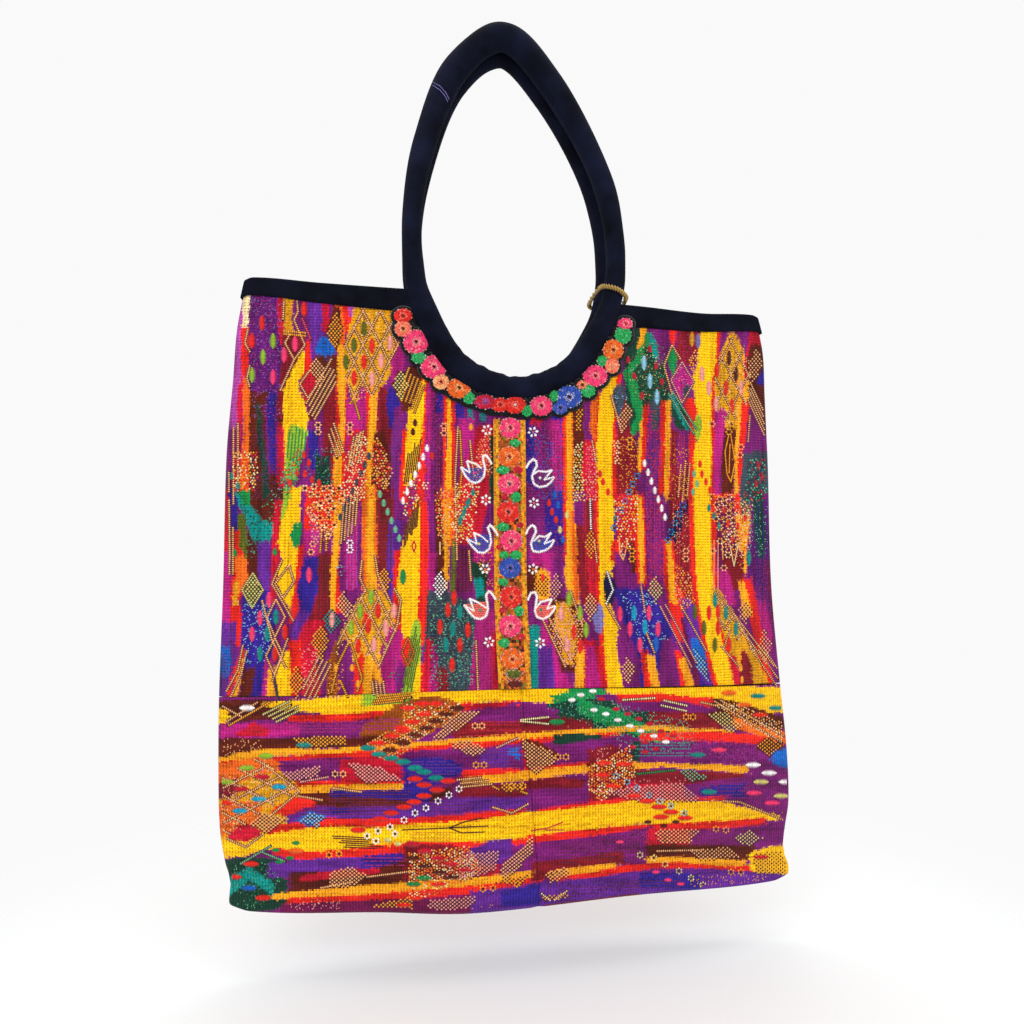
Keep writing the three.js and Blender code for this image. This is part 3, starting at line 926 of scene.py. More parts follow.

# %% [markdown]
# ## The stripes of the upper cloth
# The cloth is striped along the warp, and blocks of tied and dyed yarn give the stripes their ragged ends.
# The chart below is drawn in the photograph's pixels. A line names a dye, and then gives row, left
# edge and width at each bend of a stripe, with a semicolon between stripes. Later lines lie over earlier
# ones, as in painting.

# %% Stripes of the upper cloth
UPPER_STRIPES = """
orchid 294 234 13, 428 222 16
cream 294 243 8, 328 242 5
red 328 241 8, 345 241 9, 384 241 5
crimson 384 238 5, 470 235 5, 492 229 9
orange 378 243 4, 392 243 7, 436 243 7, 490 239 10; 300 333 9, 340 338 8, 352 337 9
deep 294 250 32, 420 250 33
brown 392 250 33, 500 248 36, 524 250 26, 545 246 16
purple 405 264 14, 474 268 11
indigo 392 268 9, 420 267 8, 470 270 6
forest 405 256 4, 445 258 6, 465 262 6, 500 262 8
crimson 296 277 6, 330 278 6, 345 281 4; 425 277 7, 488 278 6
maroon 334 282 24, 358 282 18, 392 278 6, 418 277 6
amber 294 283 11, 320 284 7, 330 284 10, 335 285 7
violet 298 307 17, 330 309 16, 345 311 7, 360 310 6
red 340 306 4, 366 304 8, 378 300 10; 302 341 11, 334 346 4
crimson 372 306 12, 384 300 22, 408 306 4; 300 322 7, 330 322 7
purple 400 308 22, 450 306 22, 470 308 18
yellow 352 302 3, 372 291 13, 380 287 12, 388 284 15, 406 283 23, 420 283 25, 440 284 22, 478 285 7
lime 424 292 4, 432 288 20, 462 285 15, 480 286 12
orchid 302 347 9, 316 349 4
brown 306 333 7, 335 326 14, 350 335 3
blue 334 322 3, 350 315 21, 367 325 3
brown 355 316 21, 370 310 28, 386 318 20, 400 308 16, 420 308 6
maroon 390 324 14, 490 322 11
indigo 430 308 10, 470 310 10
forest 455 316 14, 490 314 17
red 378 336 11, 420 336 12, 505 330 16
gold 345 338 8, 382 337 9, 420 340 5, 460 334 8, 505 333 8
amber 306 354 41, 350 344 57, 372 345 47, 390 350 30, 402 352 6
magenta 400 346 6, 420 346 12, 445 346 10, 455 346 6; 386 360 6, 412 356 14, 450 360 8; 330 399 5, 365
  390 14, 385 392 8
crimson 430 350 18, 500 342 24
red 386 366 6, 440 366 5
gold 383 371 7, 500 364 10
maroon 388 379 11, 440 376 16, 450 377 13
brown 432 374 10, 460 372 20, 495 370 20
indigo 388 388 10, 405 386 14, 430 390 7; 390 437 6, 414 436 7
brown 370 399 3, 384 392 17, 402 400 3
purple 408 394 11, 500 390 11
brown 366 408 16, 380 404 20, 396 400 16, 412 402 6
red 376 421 9, 455 419 5, 500 416 10; 430 402 5, 500 399 6
yellow 380 422 3, 412 408 16, 470 404 14, 486 404 8
magenta 385 427 7, 450 425 5, 500 424 6
plum 430 436 11, 500 436 10
red 395 444 11, 505 442 13
gold 395 447 4, 505 445 7
indigo 396 455 9, 418 455 9; 412 524 42, 480 526 40, 500 545 25, 545 546 26
teal 409 468 5, 422 468 5; 409 480 6, 420 480 6
magenta 418 459 16, 470 459 15, 482 460 10
crimson 425 476 18, 450 472 22, 480 458 36, 545 458 20
forest 435 489 5, 500 489 5
purple 416 534 18, 450 534 14, 480 540 16, 500 535 10
magenta 420 548 12, 490 554 12
crimson 410 528 19, 426 530 10
red 402 562 11, 500 563 10, 560 564 12
orange 402 565 8, 500 566 7
gold 402 567 5, 500 567 5
brown 405 573 11, 440 573 13, 500 573 9
purple 400 584 10, 425 583 9, 455 586 4
crimson 440 584 12, 470 582 15, 500 584 14
orange 388 594 5, 410 590 8, 430 590 8, 440 593 4
red 372 614 8, 384 606 15, 395 598 18, 450 594 23, 500 596 21
yellow 375 613 4, 392 600 15, 450 596 16, 500 599 13
slate 384 617 5, 395 612 15, 416 616 6
maroon 398 626 10, 430 617 17, 470 616 24, 500 617 19
forest 328 634 26, 360 624 40, 400 626 44, 430 630 32
purple 322 645 25, 350 656 12, 365 655 11
gold 320 640 8, 335 640 6, 350 636 6
teal 333 646 6, 345 648 9, 360 655 5
green 345 640 5, 360 634 8, 372 622 10, 385 627 11, 415 636 9, 425 632 10, 434 630 6
red 322 668 10, 345 670 4
maroon 322 678 22, 350 676 22, 365 680 14
green 347 671 2, 357 666 12, 376 672 2
magenta 362 680 4, 380 672 21, 402 680 6
slate 385 684 8, 395 682 8, 402 684 4
forest 393 664 12, 410 668 16, 425 676 14, 440 684 8
teal 395 668 6, 434 688 3
purple 405 648 14, 470 646 14, 500 644 18
slate 400 650 10, 430 652 6
red 400 661 10, 500 658 12; 405 643 6, 470 640 5
gold 400 666 5, 500 664 5; 420 640 3, 470 637 4
maroon 430 671 23, 500 670 22
purple 430 678 12, 450 676 14, 475 678 6
crimson 398 686 8, 408 684 14, 420 688 11
red 398 687 5, 408 685 12, 420 690 7, 500 688 6; 322 716 6, 395 710 5, 500 709 5
yellow 322 701 16, 365 697 19, 378 692 20, 430 700 11, 450 694 18, 500 693 17
brown 420 722 20, 428 724 14, 470 721 13, 500 722 11
amber 332 730 4, 350 722 22, 380 714 36, 410 716 29, 428 726 10
lime 414 697 2, 425 693 10, 440 696 2
magenta 408 719 6, 415 717 10, 440 714 9, 500 713 5
gold 355 742 6, 375 738 10, 392 735 17, 420 738 5, 440 735 4, 500 734 5
red 400 742 8, 470 737 5, 500 739 5
crimson 322 750 12, 345 748 16, 362 744 8, 380 744 6; 488 220 10, 570 220 10
indigo 362 757 13, 380 754 16, 400 756 14; 488 228 10, 532 230 8
brown 345 750 14, 362 746 20, 384 750 5; 384 748 22, 420 756 14, 436 764 8
purple 410 750 8, 440 746 22, 455 742 26
slate 452 744 28, 500 738 36, 556 748 28
teal 490 234 10, 505 238 12, 520 246 16, 535 250 20, 542 254 12; 522 262 13, 536 262 10, 542 258 10
green 490 238 12, 505 242 8
olive 514 237 8, 540 238 10, 562 244 10
magenta 550 221 11, 580 221 15, 605 221 15, 625 221 11
red 530 230 10, 545 231 8, 560 232 14, 580 232 18, 600 230 10
orange 556 233 13, 575 236 12, 592 232 10
gold 582 234 5, 612 232 6
red 605 230 10, 630 231 13, 646 234 8
brown 545 246 12, 575 248 10, 590 246 6
violet 542 257 13, 575 258 12, 600 254 14
indigo 592 243 33, 650 240 34, 672 244 20
violet 622 220 16, 650 220 16, 680 220 20, 704 218 18
blue 646 221 10, 668 220 11, 678 221 5
gold 658 240 5, 704 229 7
red 650 242 4, 680 229 7, 704 226 5
brown 668 244 20, 704 238 20
indigo 668 256 11, 704 250 14
magenta 660 265 8, 704 261 9
olive 574 252 2, 590 244 17, 606 250 2
crimson 500 274 10, 602 270 6
lime 486 284 8, 505 282 16, 530 280 20
yellow 486 291 11, 505 288 12, 520 282 18, 540 278 22, 560 282 16, 580 276 20, 600 284 14, 612 292 6
green 522 294 8, 535 290 11, 548 294 5
red 545 298 8, 590 294 5, 622 288 10
magenta 530 303 19, 556 304 16
indigo 556 304 14, 575 300 22, 592 296 22, 602 300 22, 615 302 10, 635 290 10
violet 612 296 14, 640 290 14, 656 292 10
maroon 552 318 14, 590 318 14, 622 308 22
crimson 620 306 20, 640 296 26, 665 298 20, 700 302 20
red 640 288 14, 670 287 15, 700 288 10; 486 306 38, 530 304 34; 530 338 9, 560 335 7, 614 332 12
yellow 650 284 6, 665 276 14, 704 278 14
gold 668 268 9, 704 266 10; 500 333 9, 525 334 8, 580 330 6, 614 331 4
purple 500 344 18, 570 338 24, 592 340 20, 604 346 8
magenta 510 348 12, 550 344 12, 590 346 10
orange 486 362 14, 596 362 16
gold 486 368 7, 530 366 8, 594 366 11
maroon 488 376 18, 580 378 14
violet 520 389 13, 560 386 14, 604 388 12
rust 640 336 67, 662 328 64, 704 326 66
amber 586 366 10, 610 352 46, 640 338 63, 662 350 38
purple 640 342 6, 652 338 14, 700 338 18
red 612 364 8, 630 362 8; 652 360 10, 670 354 16, 704 354 12; 500 417 10, 540 419 10, 610 416 16, 645
  412 12
gold 640 362 8, 660 364 9, 704 362 8
magenta 626 390 14, 655 378 24, 675 376 18, 704 380 18; 552 428 9, 604 428 4
gold 655 372 10, 668 372 8, 684 376 6
red 550 394 8, 604 393 7, 630 396 7
yellow 500 415 5, 545 402 18, 590 396 23, 612 401 17, 630 402 12, 642 403 5
lime 620 414 6, 640 408 13, 660 409 12, 704 400 11
red 638 401 9, 655 401 13, 666 404 6
yellow 664 416 6, 704 411 10
red 664 421 8, 704 420 8
brown 488 434 12, 604 438 10
orange 488 440 17, 530 443 16, 546 444 9
gold 500 444 6, 600 444 4, 640 446 4
olive 540 452 6, 604 450 6
plum 548 456 18, 592 456 16
magenta 540 474 20, 570 474 20, 600 484 10
forest 562 470 18, 604 478 8
teal 578 474 10, 596 476 8; 626 529 11, 700 529 10
slate 590 428 18, 606 427 47, 650 424 52, 704 432 40
crimson 640 426 8, 704 420 10
magenta 645 431 6, 704 429 11; 612 476 20, 704 468 30; 552 530 22, 578 534 18
maroon 668 437 10, 704 438 12
crimson 630 490 7, 704 490 8
brown 566 527 15, 594 527 11
gold 570 535 14, 590 537 14, 602 540 8
magenta 600 545 15, 640 540 14, 694 550 24
violet 645 538 14, 694 538 18
brown 598 550 24, 625 548 38, 650 556 30, 672 562 14
amber 602 556 12, 625 554 22, 645 562 14, 664 564 8
gold 500 566 8, 540 567 11, 575 564 14, 604 571 9
orange 510 570 4, 600 574 6
maroon 500 575 19, 540 577 21, 580 578 20, 604 582 12
purple 492 573 13, 524 574 10
crimson 545 586 14, 580 588 12, 604 592 11
red 500 594 6, 600 596 8, 690 602 10
yellow 500 598 16, 560 599 15, 600 600 8, 612 602 12, 630 604 14, 645 604 12, 690 608 16
lilac 604 597 5, 618 592 12, 632 596 6
crimson 640 583 14, 690 580 28; 494 615 22, 548 618 16
magenta 646 586 8, 690 586 16
gold 650 577 8, 690 574 10
red 540 612 10, 562 610 10
purple 552 614 20, 580 616 36, 600 616 36, 620 618 44, 650 628 42, 690 636 26
navy 572 604 5, 590 604 15, 604 606 6
indigo 588 614 36, 620 622 46, 640 632 46, 660 640 26, 690 640 16
brown 540 628 14, 572 632 9
red 494 632 13, 584 637 10
gold 496 636 5, 530 638 6, 584 640 4
purple 494 644 20, 530 646 22, 560 646 18, 596 648 20
maroon 494 668 24, 600 674 20, 622 676 14
navy 498 680 11, 544 666 11
red 540 662 12, 580 664 12, 600 668 18, 630 672 19, 642 676 15; 650 640 8, 690 645 9
gold 540 666 5, 604 670 7
plum 618 680 12, 660 690 28, 690 694 28
indigo 628 690 8, 650 692 22, 670 698 24, 690 702 20
violet 598 680 10, 640 688 20, 660 694 20, 684 704 8
blue 638 691 7, 655 692 14, 668 698 9
purple 638 664 8, 655 660 20, 690 656 28
gold 655 646 8, 690 652 9
red 650 674 7, 690 682 8; 494 711 29, 540 714 26, 566 722 22
gold 658 678 8, 690 687 9
plum 498 715 19, 545 717 21, 568 722 18
gold 515 736 16, 545 738 14, 572 741 7
red 494 688 26, 590 692 25, 640 702 24, 690 714 28
yellow 494 693 17, 570 696 16, 605 699 17, 640 706 16, 690 719 20
deep 494 752 24, 560 746 30, 640 756 26, 694 770 18
forest 490 752 10, 540 755 11, 558 758 6
purple 585 750 26, 640 752 28, 694 762 26
magenta 600 756 10, 630 758 14, 652 762 10
plum 560 762 14, 620 772 8
maroon 552 722 22, 590 722 22
magenta 568 716 11, 590 718 15, 606 726 11
red 578 742 10, 650 756 10, 694 768 8
gold 582 738 7, 616 744 9
amber 588 712 6, 630 722 23, 650 728 26, 694 752 22
maroon 650 742 4, 665 740 12, 694 739 15
crimson 655 728 8, 694 736 6
"""

# %% [markdown]
# ## The stripes of the lower band
# Here the cloth is turned, so its stripes run across the bag. A line names a dye, and then gives column, top
# edge and height at each bend.

# %% Stripes of the lower band
LOWER_STRIPES = """
brown 216 700 24, 280 700 18, 304 700 12
yellow 262 703 3, 340 696 20, 380 692 22, 420 688 18, 522 685 15; 216 708 16, 229 710 12
lime 362 692 14, 412 690 14
red 288 715 7, 350 714 8, 420 706 6, 450 702 10, 480 703 7, 522 700 7
rust 360 728 16, 398 704 42, 424 696 40, 440 696 32, 462 704 10
magenta 220 724 14, 300 724 12
crimson 236 732 4, 255 722 14, 268 730 6
brown 216 738 22, 260 738 14, 300 738 10, 345 738 10, 400 735 9
gold 216 758 5, 270 748 8, 330 749 5, 522 733 6
red 222 761 7, 290 756 4, 380 750 6, 450 744 5, 490 741 7, 522 739 5
amber 216 768 70, 240 760 82, 262 756 86, 285 774 56, 300 786 10
orange 216 764 26, 264 756 18, 280 762 8; 216 806 32, 240 802 30, 262 800 22
maroon 216 784 16, 238 778 18
crimson 340 760 20, 370 756 28, 402 756 28; 228 834 4, 245 822 22, 262 831 6
red 296 780 6, 410 782 6
gold 278 788 8, 300 786 7, 412 783 7
brown 300 793 13, 420 790 16, 452 786 8
indigo 330 790 7, 370 790 7, 400 790 10, 430 786 20
red 272 810 3, 290 798 18, 305 796 12, 314 800 6
violet 288 815 13, 320 808 12, 400 806 12, 450 798 18, 528 798 14
indigo 330 808 6, 350 808 5
red 268 826 8, 330 818 10, 360 819 11, 400 819 7, 490 811 10, 528 808 6; 272 846 8, 300 850 10, 340 848
  12, 420 841 12, 480 840 9, 528 836 8
blue 298 820 2, 310 811 16, 324 815 5
yellow 220 838 20, 245 842 14, 262 836 14, 280 832 16, 310 828 24, 340 826 24, 370 828 18, 410 824 18,
  480 820 22, 528 812 26; 522 685 17, 560 685 18, 582 688 6; 608 684 10, 640 682 12, 680 682 16, 750 686
  28, 790 688 24
forest 216 860 50, 250 857 55, 275 858 52, 288 880 20
teal 224 880 20, 250 866 14, 274 884 12
violet 268 862 16, 340 857 13, 412 856 10
indigo 362 856 12, 400 853 14, 412 856 8
brown 290 873 19, 370 869 19, 420 856 28
crimson 420 852 32, 450 848 36, 480 848 32, 500 850 24; 300 876 6, 340 870 8, 380 868 6
maroon 404 846 54, 430 844 52, 460 846 40, 480 860 14
gold 272 894 5, 350 886 10, 470 878 9, 545 869 10
red 286 898 8, 370 894 9, 480 885 8, 545 876 6
plum 280 904 16, 460 896 26, 500 890 32
violet 470 892 30, 520 886 34, 546 880 36; 468 850 7, 490 841 26, 512 838 18
indigo 500 892 15, 540 884 21
purple 404 752 38, 450 748 36, 480 748 26, 522 743 30; 470 706 20, 520 702 20
indigo 404 758 34, 440 757 27, 462 764 8
violet 480 750 14, 510 746 22
crimson 466 703 6, 510 702 5
maroon 452 722 16, 522 722 12
red 462 770 9, 522 768 9
gold 462 778 7, 528 771 9
maroon 458 785 12, 528 784 12
blue 508 751 3, 520 745 16
green 552 696 8, 575 688 16, 590 686 14, 604 688 6
forest 542 706 6, 560 702 15, 580 698 30, 604 700 30, 640 706 32, 684 716 36, 698 736 12; 626 740 22,
  660 742 18, 690 744 10
green 578 696 16, 600 706 18, 620 711 19, 650 726 14, 670 734 16, 686 744 4
purple 522 704 17, 545 706 11, 558 710 4
maroon 522 721 12, 556 717 14, 592 721 8
gold 522 733 7, 650 725 5, 734 730 6
red 522 739 5, 620 732 4
forest 553 735 11, 580 733 16, 602 736 6
purple 553 746 18, 590 740 20, 632 738 14
crimson 524 745 26, 540 742 29, 554 750 14
brown 522 738 8, 540 742 28, 556 752 12
red 525 767 7, 600 761 7
gold 525 771 9, 590 764 8, 660 761 6, 748 766 7
maroon 526 780 11, 560 777 11, 584 780 9
purple 528 789 23, 580 788 18, 604 795 9
crimson 588 778 24, 640 778 24, 684 782 20
maroon 588 750 50, 612 744 56, 634 756 22; 632 769 14, 744 773 17
purple 640 744 18, 700 738 26, 750 742 22, 790 756 20; 686 784 16, 740 777 25, 794 774 40
indigo 700 788 9, 745 782 15
red 534 810 8, 580 803 9, 640 798 8, 726 796 8
yellow 528 812 26, 560 810 22, 640 800 24, 720 801 22, 780 816 4
red 528 836 9, 630 825 8, 720 821 10, 766 817 10
purple 532 843 21, 610 834 26, 652 826 26
maroon 532 862 20, 590 856 12, 624 850 14
crimson 646 829 21, 694 828 22
purple 690 830 16, 740 827 16, 794 820 28
brown 646 844 18, 756 845 15
gold 556 870 9, 616 863 5; 646 857 6, 680 857 6, 745 860 8
red 550 877 7, 590 873 8, 630 864 7, 680 862 7, 720 866 7, 756 866 7; 618 694 7, 655 693 9, 712 698 10
yellow 750 852 21, 768 847 29, 796 844 32
violet 544 882 32, 600 877 33, 650 869 36, 700 868 32, 796 875 17
maroon 544 905 15, 640 893 15
indigo 640 872 16, 700 874 16
purple 618 701 9, 690 702 11, 714 709 5
maroon 648 712 12, 700 712 17, 724 720 9
brown 706 712 4, 726 710 14, 744 724 8; 712 698 8, 740 702 26, 784 718 26
orange 733 716 11, 760 726 11, 790 733 13
red 640 733 7, 700 731 10, 740 733 10, 775 738 8
brown 756 743 4, 768 737 19, 784 744 6
blue 772 752 12, 792 746 24
"""

# %% Reading the charts


def read_lines(text):
    """A chart's lines. One that starts with two spaces goes on from the last."""
    return text.strip().replace("\n  ", " ").splitlines()


def read_points(text):
    """Numbers with commas between the places, as a row for each place."""
    return np.array([place.split() for place in text.split(",")], float)


def read_stripes(text):
    """A chart's stripes, as a dye and rows of three numbers."""
    for line in read_lines(text):
        name, stripes = line.split(" ", 1)
        for stripe in stripes.split(";"):
            yield name, read_points(stripe)


def stripe_colours(text, base, along, across):
    """Lays a chart's stripes over the base dye, for places along and across the stripes."""
    colours = np.tile(dye(base), (len(along), 1))
    for name, rows in read_stripes(text):
        near = np.flatnonzero((along >= rows[0, 0]) & (along <= rows[-1, 0]))
        start = np.interp(along[near], rows[:, 0], rows[:, 1])
        end = np.interp(along[near], rows[:, 0], rows[:, 1] + rows[:, 2])
        colours[near[(across[near] >= start) & (across[near] < end)]] = dye(name)
    return colours


# %% [markdown]
# ## Dyeing the walls
# Each small face of a wall is looked up in the chart where it shows in the photograph. The yarn was dyed
# before it was woven, so each thread's colours are slipped a little along it, and that makes the ragged ends.
# The back isn't in the photograph. It gets the front's chart turned round, as a folded length of cloth would.

# %% Threads and patches
WARP_PITCH = 1.3  # pixels from one thread to the next, across the stripes
WEFT_PITCH = 1.6  # and along them
SLIP = 0.9  # how far a thread's dye slips along it, in pixels
STEP = 0.3  # how far an edge wanders from one weft thread to the next
BLEED = (0.7, 0.3)  # how far dyes bleed into each other, along and across the stripes
BLEED_LOOKS = 4  # places looked up and mixed for one face
FLECKS = 0.15  # share of the faces whose dye has strayed further
STRAY = 4  # and how many times further
SHADE = 0.12  # how much the shade changes from thread to thread
UNEVEN = 0.3  # how much it changes in patches where the dye took unevenly
STREAK = (5.1, 37)  # size of those patches in pixels, across and along the threads
BLOTCH = (13, 19)


def front_twin(places):
    """The place on the front that a place on the back takes its colours from."""
    behind = places[:, 1] > 0
    x, z = places[:, 0], places[:, 2]
    turned = -x * half_width(-x, z) / half_width(x, z)
    return np.column_stack((np.where(behind, turned, x), -np.abs(places[:, 1]), z))


def thread_wander(place, pitch, amount):
    """A random amount for each thread, the same all along it."""
    count = 2000
    slips = rng.normal(0, amount, count)
    return slips[(place / pitch).astype(int) % count]


def dye_patches(along, across):
    """Lighter and darker patches, drawn out along the threads, from -1 to 1."""
    streak = np.sin(across / STREAK[0] + 2.2 * np.sin(along / STREAK[1]))
    return streak * np.sin(along / BLOTCH[1] + 2.6 * np.sin(across / BLOTCH[0]))


def face_centres(mesh):
    centres = np.empty(len(mesh.polygons) * 3)
    mesh.polygons.foreach_get("center", centres)
    return centres.reshape(-1, 3) / MM


# %% Dyeing the walls


def dye_wall(piece, text, base, turned):
    """Stores a colour for each face of a wall, from its chart."""
    column, row = picture_place(front_twin(face_centres(piece.data)))
    along, across = (column, row) if turned else (row, column)
    slipped = along + thread_wander(across, WARP_PITCH, SLIP)
    wandered = across + thread_wander(along, WEFT_PITCH, STEP)
    colours = np.zeros((len(along), 3))
    stray = np.where(rng.random(len(along)) < FLECKS, STRAY, 1)
    for _ in range(BLEED_LOOKS):
        strayed = [rng.normal(0, far, len(along)) * stray for far in BLEED]
        bled = (slipped + strayed[0], wandered + strayed[1])
        colours += stripe_colours(text, base, *bled) / BLEED_LOOKS
    shade = 1 + thread_wander(across, WARP_PITCH, SHADE) + rng.normal(0, SHADE / 2, len(along))
    shade += UNEVEN * dye_patches(along, across) * (1 - colours[:, 1]) ** 2  # least on yellow
    paint(piece.data, np.clip(colours * shade[:, None], 0, 1))


def paint(mesh, colours):
    """Stores one colour to a face."""
    dyes = mesh.attributes.new("dye", "FLOAT_COLOR", "FACE")
    dyes.data.foreach_set("color", np.column_stack((colours, np.ones(len(colours)))).ravel())


for wall in (front_panel, back_panel):
    dye_wall(wall, UPPER_STRIPES, "purple", turned=False)
for wall in (lower_left, lower_right):
    dye_wall(wall, LOWER_STRIPES, "purple", turned=True)
print("stripes:", len([*read_stripes(UPPER_STRIPES)]), "above,", len([*read_stripes(LOWER_STRIPES)]), "below")

# %% [markdown]
# ## Brocade stitches
# The raised figures are brocaded: a thicker coloured thread floats over a few warps, row after row. A stitch
# is one small bead of six corners, half sunk in the cloth. Thousands of them go into one mesh from arrays,
# since no one would set them by hand. Each is placed by its column and row in the photograph, and the line of
# sight through them is followed to the cloth.

# %% Placing stitches
PIXEL = 0.78  # millimetres to a pixel on the front of the bag


def wall_depth(x, z):
    """How far the front of the cloth stands from the seam plane, also where the bottom folds under."""
    bottom = bottom_height(x)
    face = outer_face(x, np.maximum(z, bottom))
    under = np.maximum(0, bottom - z) / (FOLD_ROUND * face)
    return face * np.sqrt(np.maximum(0, 1 - under**2))


def on_front(column, row, depth_of):
    """The place on the front where a column and row of the photograph meet it."""
    slope = np.column_stack(((column - PICTURE / 2) / PIXELS, (HORIZON_ROW - row) / PIXELS))
    ray = LINE_OF_SIGHT + slope[:, :1] * SIDEWAYS + slope[:, 1:] * np.array((0, 0, 1))
    place = CAMERA_AT + ray * (-CAMERA_AT[1] / ray[:, 1])[:, None]
    for _ in range(6):
        reach = (-depth_of(place[:, 0], place[:, 2]) - CAMERA_AT[1]) / ray[:, 1]
        place = CAMERA_AT + ray * reach[:, None]
    return place


def cloth_normal(place, depth_of, side):
    """Which way the cloth faces at these places."""
    x, z = place[:, 0], place[:, 2]
    step = 1.5
    slope_x = (depth_of(x + step, z) - depth_of(x - step, z)) / (2 * step)
    slope_z = (depth_of(x, z + step) - depth_of(x, z - step)) / (2 * step)
    return unit(np.column_stack((-slope_x, np.full(len(x), side), -slope_z)))


# %% A mesh of stitches
STITCH_FACES = np.array([
    (0, 1, 4), (1, 2, 4), (2, 3, 4), (3, 0, 4), (1, 0, 5), (2, 1, 5), (3, 2, 5), (0, 3, 5),
])
STITCH_UV = np.array([(0.1, 0.5), (0.5, 0.1), (0.9, 0.5), (0.5, 0.9), (0.5, 0.5), (0.5, 0.5)])


def stitch_mesh(name, place, normal, along, length, width, rise, colours):
    """Many stitches in one mesh, each with its own colour and its own cell of the bake map."""
    along = unit(along - normal * (along * normal).sum(axis=1, keepdims=True))
    across = np.cross(normal, along)
    length, width, rise = (np.broadcast_to(size, len(place))[:, None] for size in (length, width, rise))
    corners = np.stack((
        place - along * length / 2, place - across * width / 2, place + along * length / 2,
        place + across * width / 2, place + normal * rise, place - normal * rise * 0.7), axis=1)
    faces = (np.arange(len(place))[:, None, None] * 6 + STITCH_FACES).reshape(-1, 3)
    piece = new_piece(name, corners.reshape(-1, 3), faces)
    mesh = piece.data
    cells = int(np.ceil(np.sqrt(len(place))))
    cell = np.column_stack((np.arange(len(place)) % cells, np.arange(len(place)) // cells))
    bake = (cell[:, None, :] + STITCH_UV[STITCH_FACES.ravel()]) / cells
    mesh.uv_layers.new(name="OFBake").data.foreach_set("uv", bake.ravel())
    paint(mesh, np.repeat(colours, len(STITCH_FACES), axis=0))
    mesh.shade_smooth()
    return piece


# %% [markdown]
# ## Figures made of stitches
# Every figure is a short rule: a run along a line, beads spaced along a line, an oval of rows, a field of
# checks inside an outline, a comb of parallel runs, a small ring. The charts after this name them one by one.

# %% Sizes of the figures
FLOAT = 2.9  # a stitch's length over the warps, in pixels
ROW = 2.5  # its width
RISE = 0.45  # its height in millimetres
UNDER = (4.3, 2.8, 0.15)  # length, width and height of the dark stitches under a run
OVAL = (3.4, 7.4)  # half sizes of a large oval
SPOT = (2.5, 3.7)
OVAL_ROW = 1.15  # pixels from one row of an oval to the next
OVAL_RISE = 0.8  # ovals stand higher than the fields round them
RUN_STEPS = (1.4, 2.1)  # pixels from stitch to stitch of a run, for the dark ones and the bright
STROKE = (1.7, 2.6)  # length and width of a cord's close stitches
DOT = (2.9, 2.5)  # of the dots in a field
DARK_DOT = (3.0, 2.4)
DOT_RISE = 0.5
CONFETTI = (2.7, 2.5)
FLECK = (1.9, 1.3)
LONE_THREAD = (1.4, 3.2, 0.2)
RING_STITCH = (3, 2.5)
CHECK_STEPS = (3.6, 2.2)  # pixels from dot to dot, along and across, in a field of checks
DOT_STEPS = (2.9, 2.5)
RING_STEPS = (8.4, 7.2)
THREAD_STEPS = (3.3, 1.8)
HAZE = 0.1  # flecks to a square pixel
BEAD_GAP = 9.6
COMB_GAP = 4.3
COMB_ENDS = ((-0.08, 0.88), (0.08, 1.08))  # where its lines may start and end
TOOTH_GAP = 3.4
TOOTH_ENDS = ((-0.15, 0.8), (0.15, 1.15))
RING = 2.7
LATTICE = np.array((-8.7, 17))  # one side of a lattice diamond
LATTICE_TURNED = np.array((8.7, 17))

# %% Lines of stitches


def line_places(points, step):
    """Places a step apart along a line through points."""
    reach = np.concatenate(([0], np.cumsum(np.hypot(*np.diff(points, axis=0).T))))
    at = np.arange(step / 2, max(reach[-1], step), step)
    return np.column_stack((np.interp(at, reach, points[:, 0]), np.interp(at, reach, points[:, 1])))


def floats(places):
    """Plain stitches at these places: column, row, length, width and height."""
    return [(u, v, FLOAT, ROW, RISE) for u, v in places]


def under(places):
    """The dark stitches that set them off."""
    return [(u, v, *UNDER) for u, v in places]


def runs(points):
    """Single stitches along a line, over dark ones that set it off."""
    return under(line_places(points, RUN_STEPS[0])) + floats(line_places(points, RUN_STEPS[1]))


def strokes(points):
    """Close stitches along a line, so that they make a cord."""
    return [(u, v, *STROKE, RISE) for u, v in line_places(points, RUN_STEPS[0])]


def fan(points, gap, ends, stitches):
    """Parallel lines: they start between the first two points, and go the way from the first to the third."""
    first, last, tip = points
    count = max(2, int(round(np.hypot(*(last - first)) / gap)) + 1)
    found = []
    for share in np.linspace(0, 1, count):
        start = first + (last - first) * share
        found += stitches(start + np.outer(rng.uniform(*ends), tip - first))
    return found


def comb(points):
    return fan(points, COMB_GAP, COMB_ENDS, runs)


def teeth(points):
    return fan(points, TOOTH_GAP, TOOTH_ENDS, strokes)


# %% Fields of stitches


def field(points, step_u, step_v):
    """Places in rows inside an outline, every other row half a step along."""
    low, high = points.min(axis=0), points.max(axis=0)
    found = []
    for number, v in enumerate(np.arange(low[1], high[1], step_v)):
        u = np.arange(low[0] + number % 2 * step_u / 2, high[0], step_u)
        found += [(a, v) for a in u[within(points, u, np.full_like(u, v))]]
    return np.array(found)


def checks(points):
    """A field of checks: bright stitches, and dark ones between them."""
    places = field(points, *CHECK_STEPS)
    dark = [(u + CHECK_STEPS[0] / 2, v, *DARK_DOT, UNDER[2]) for u, v in places]
    return dark + [(u, v, *DOT, DOT_RISE) for u, v in places]


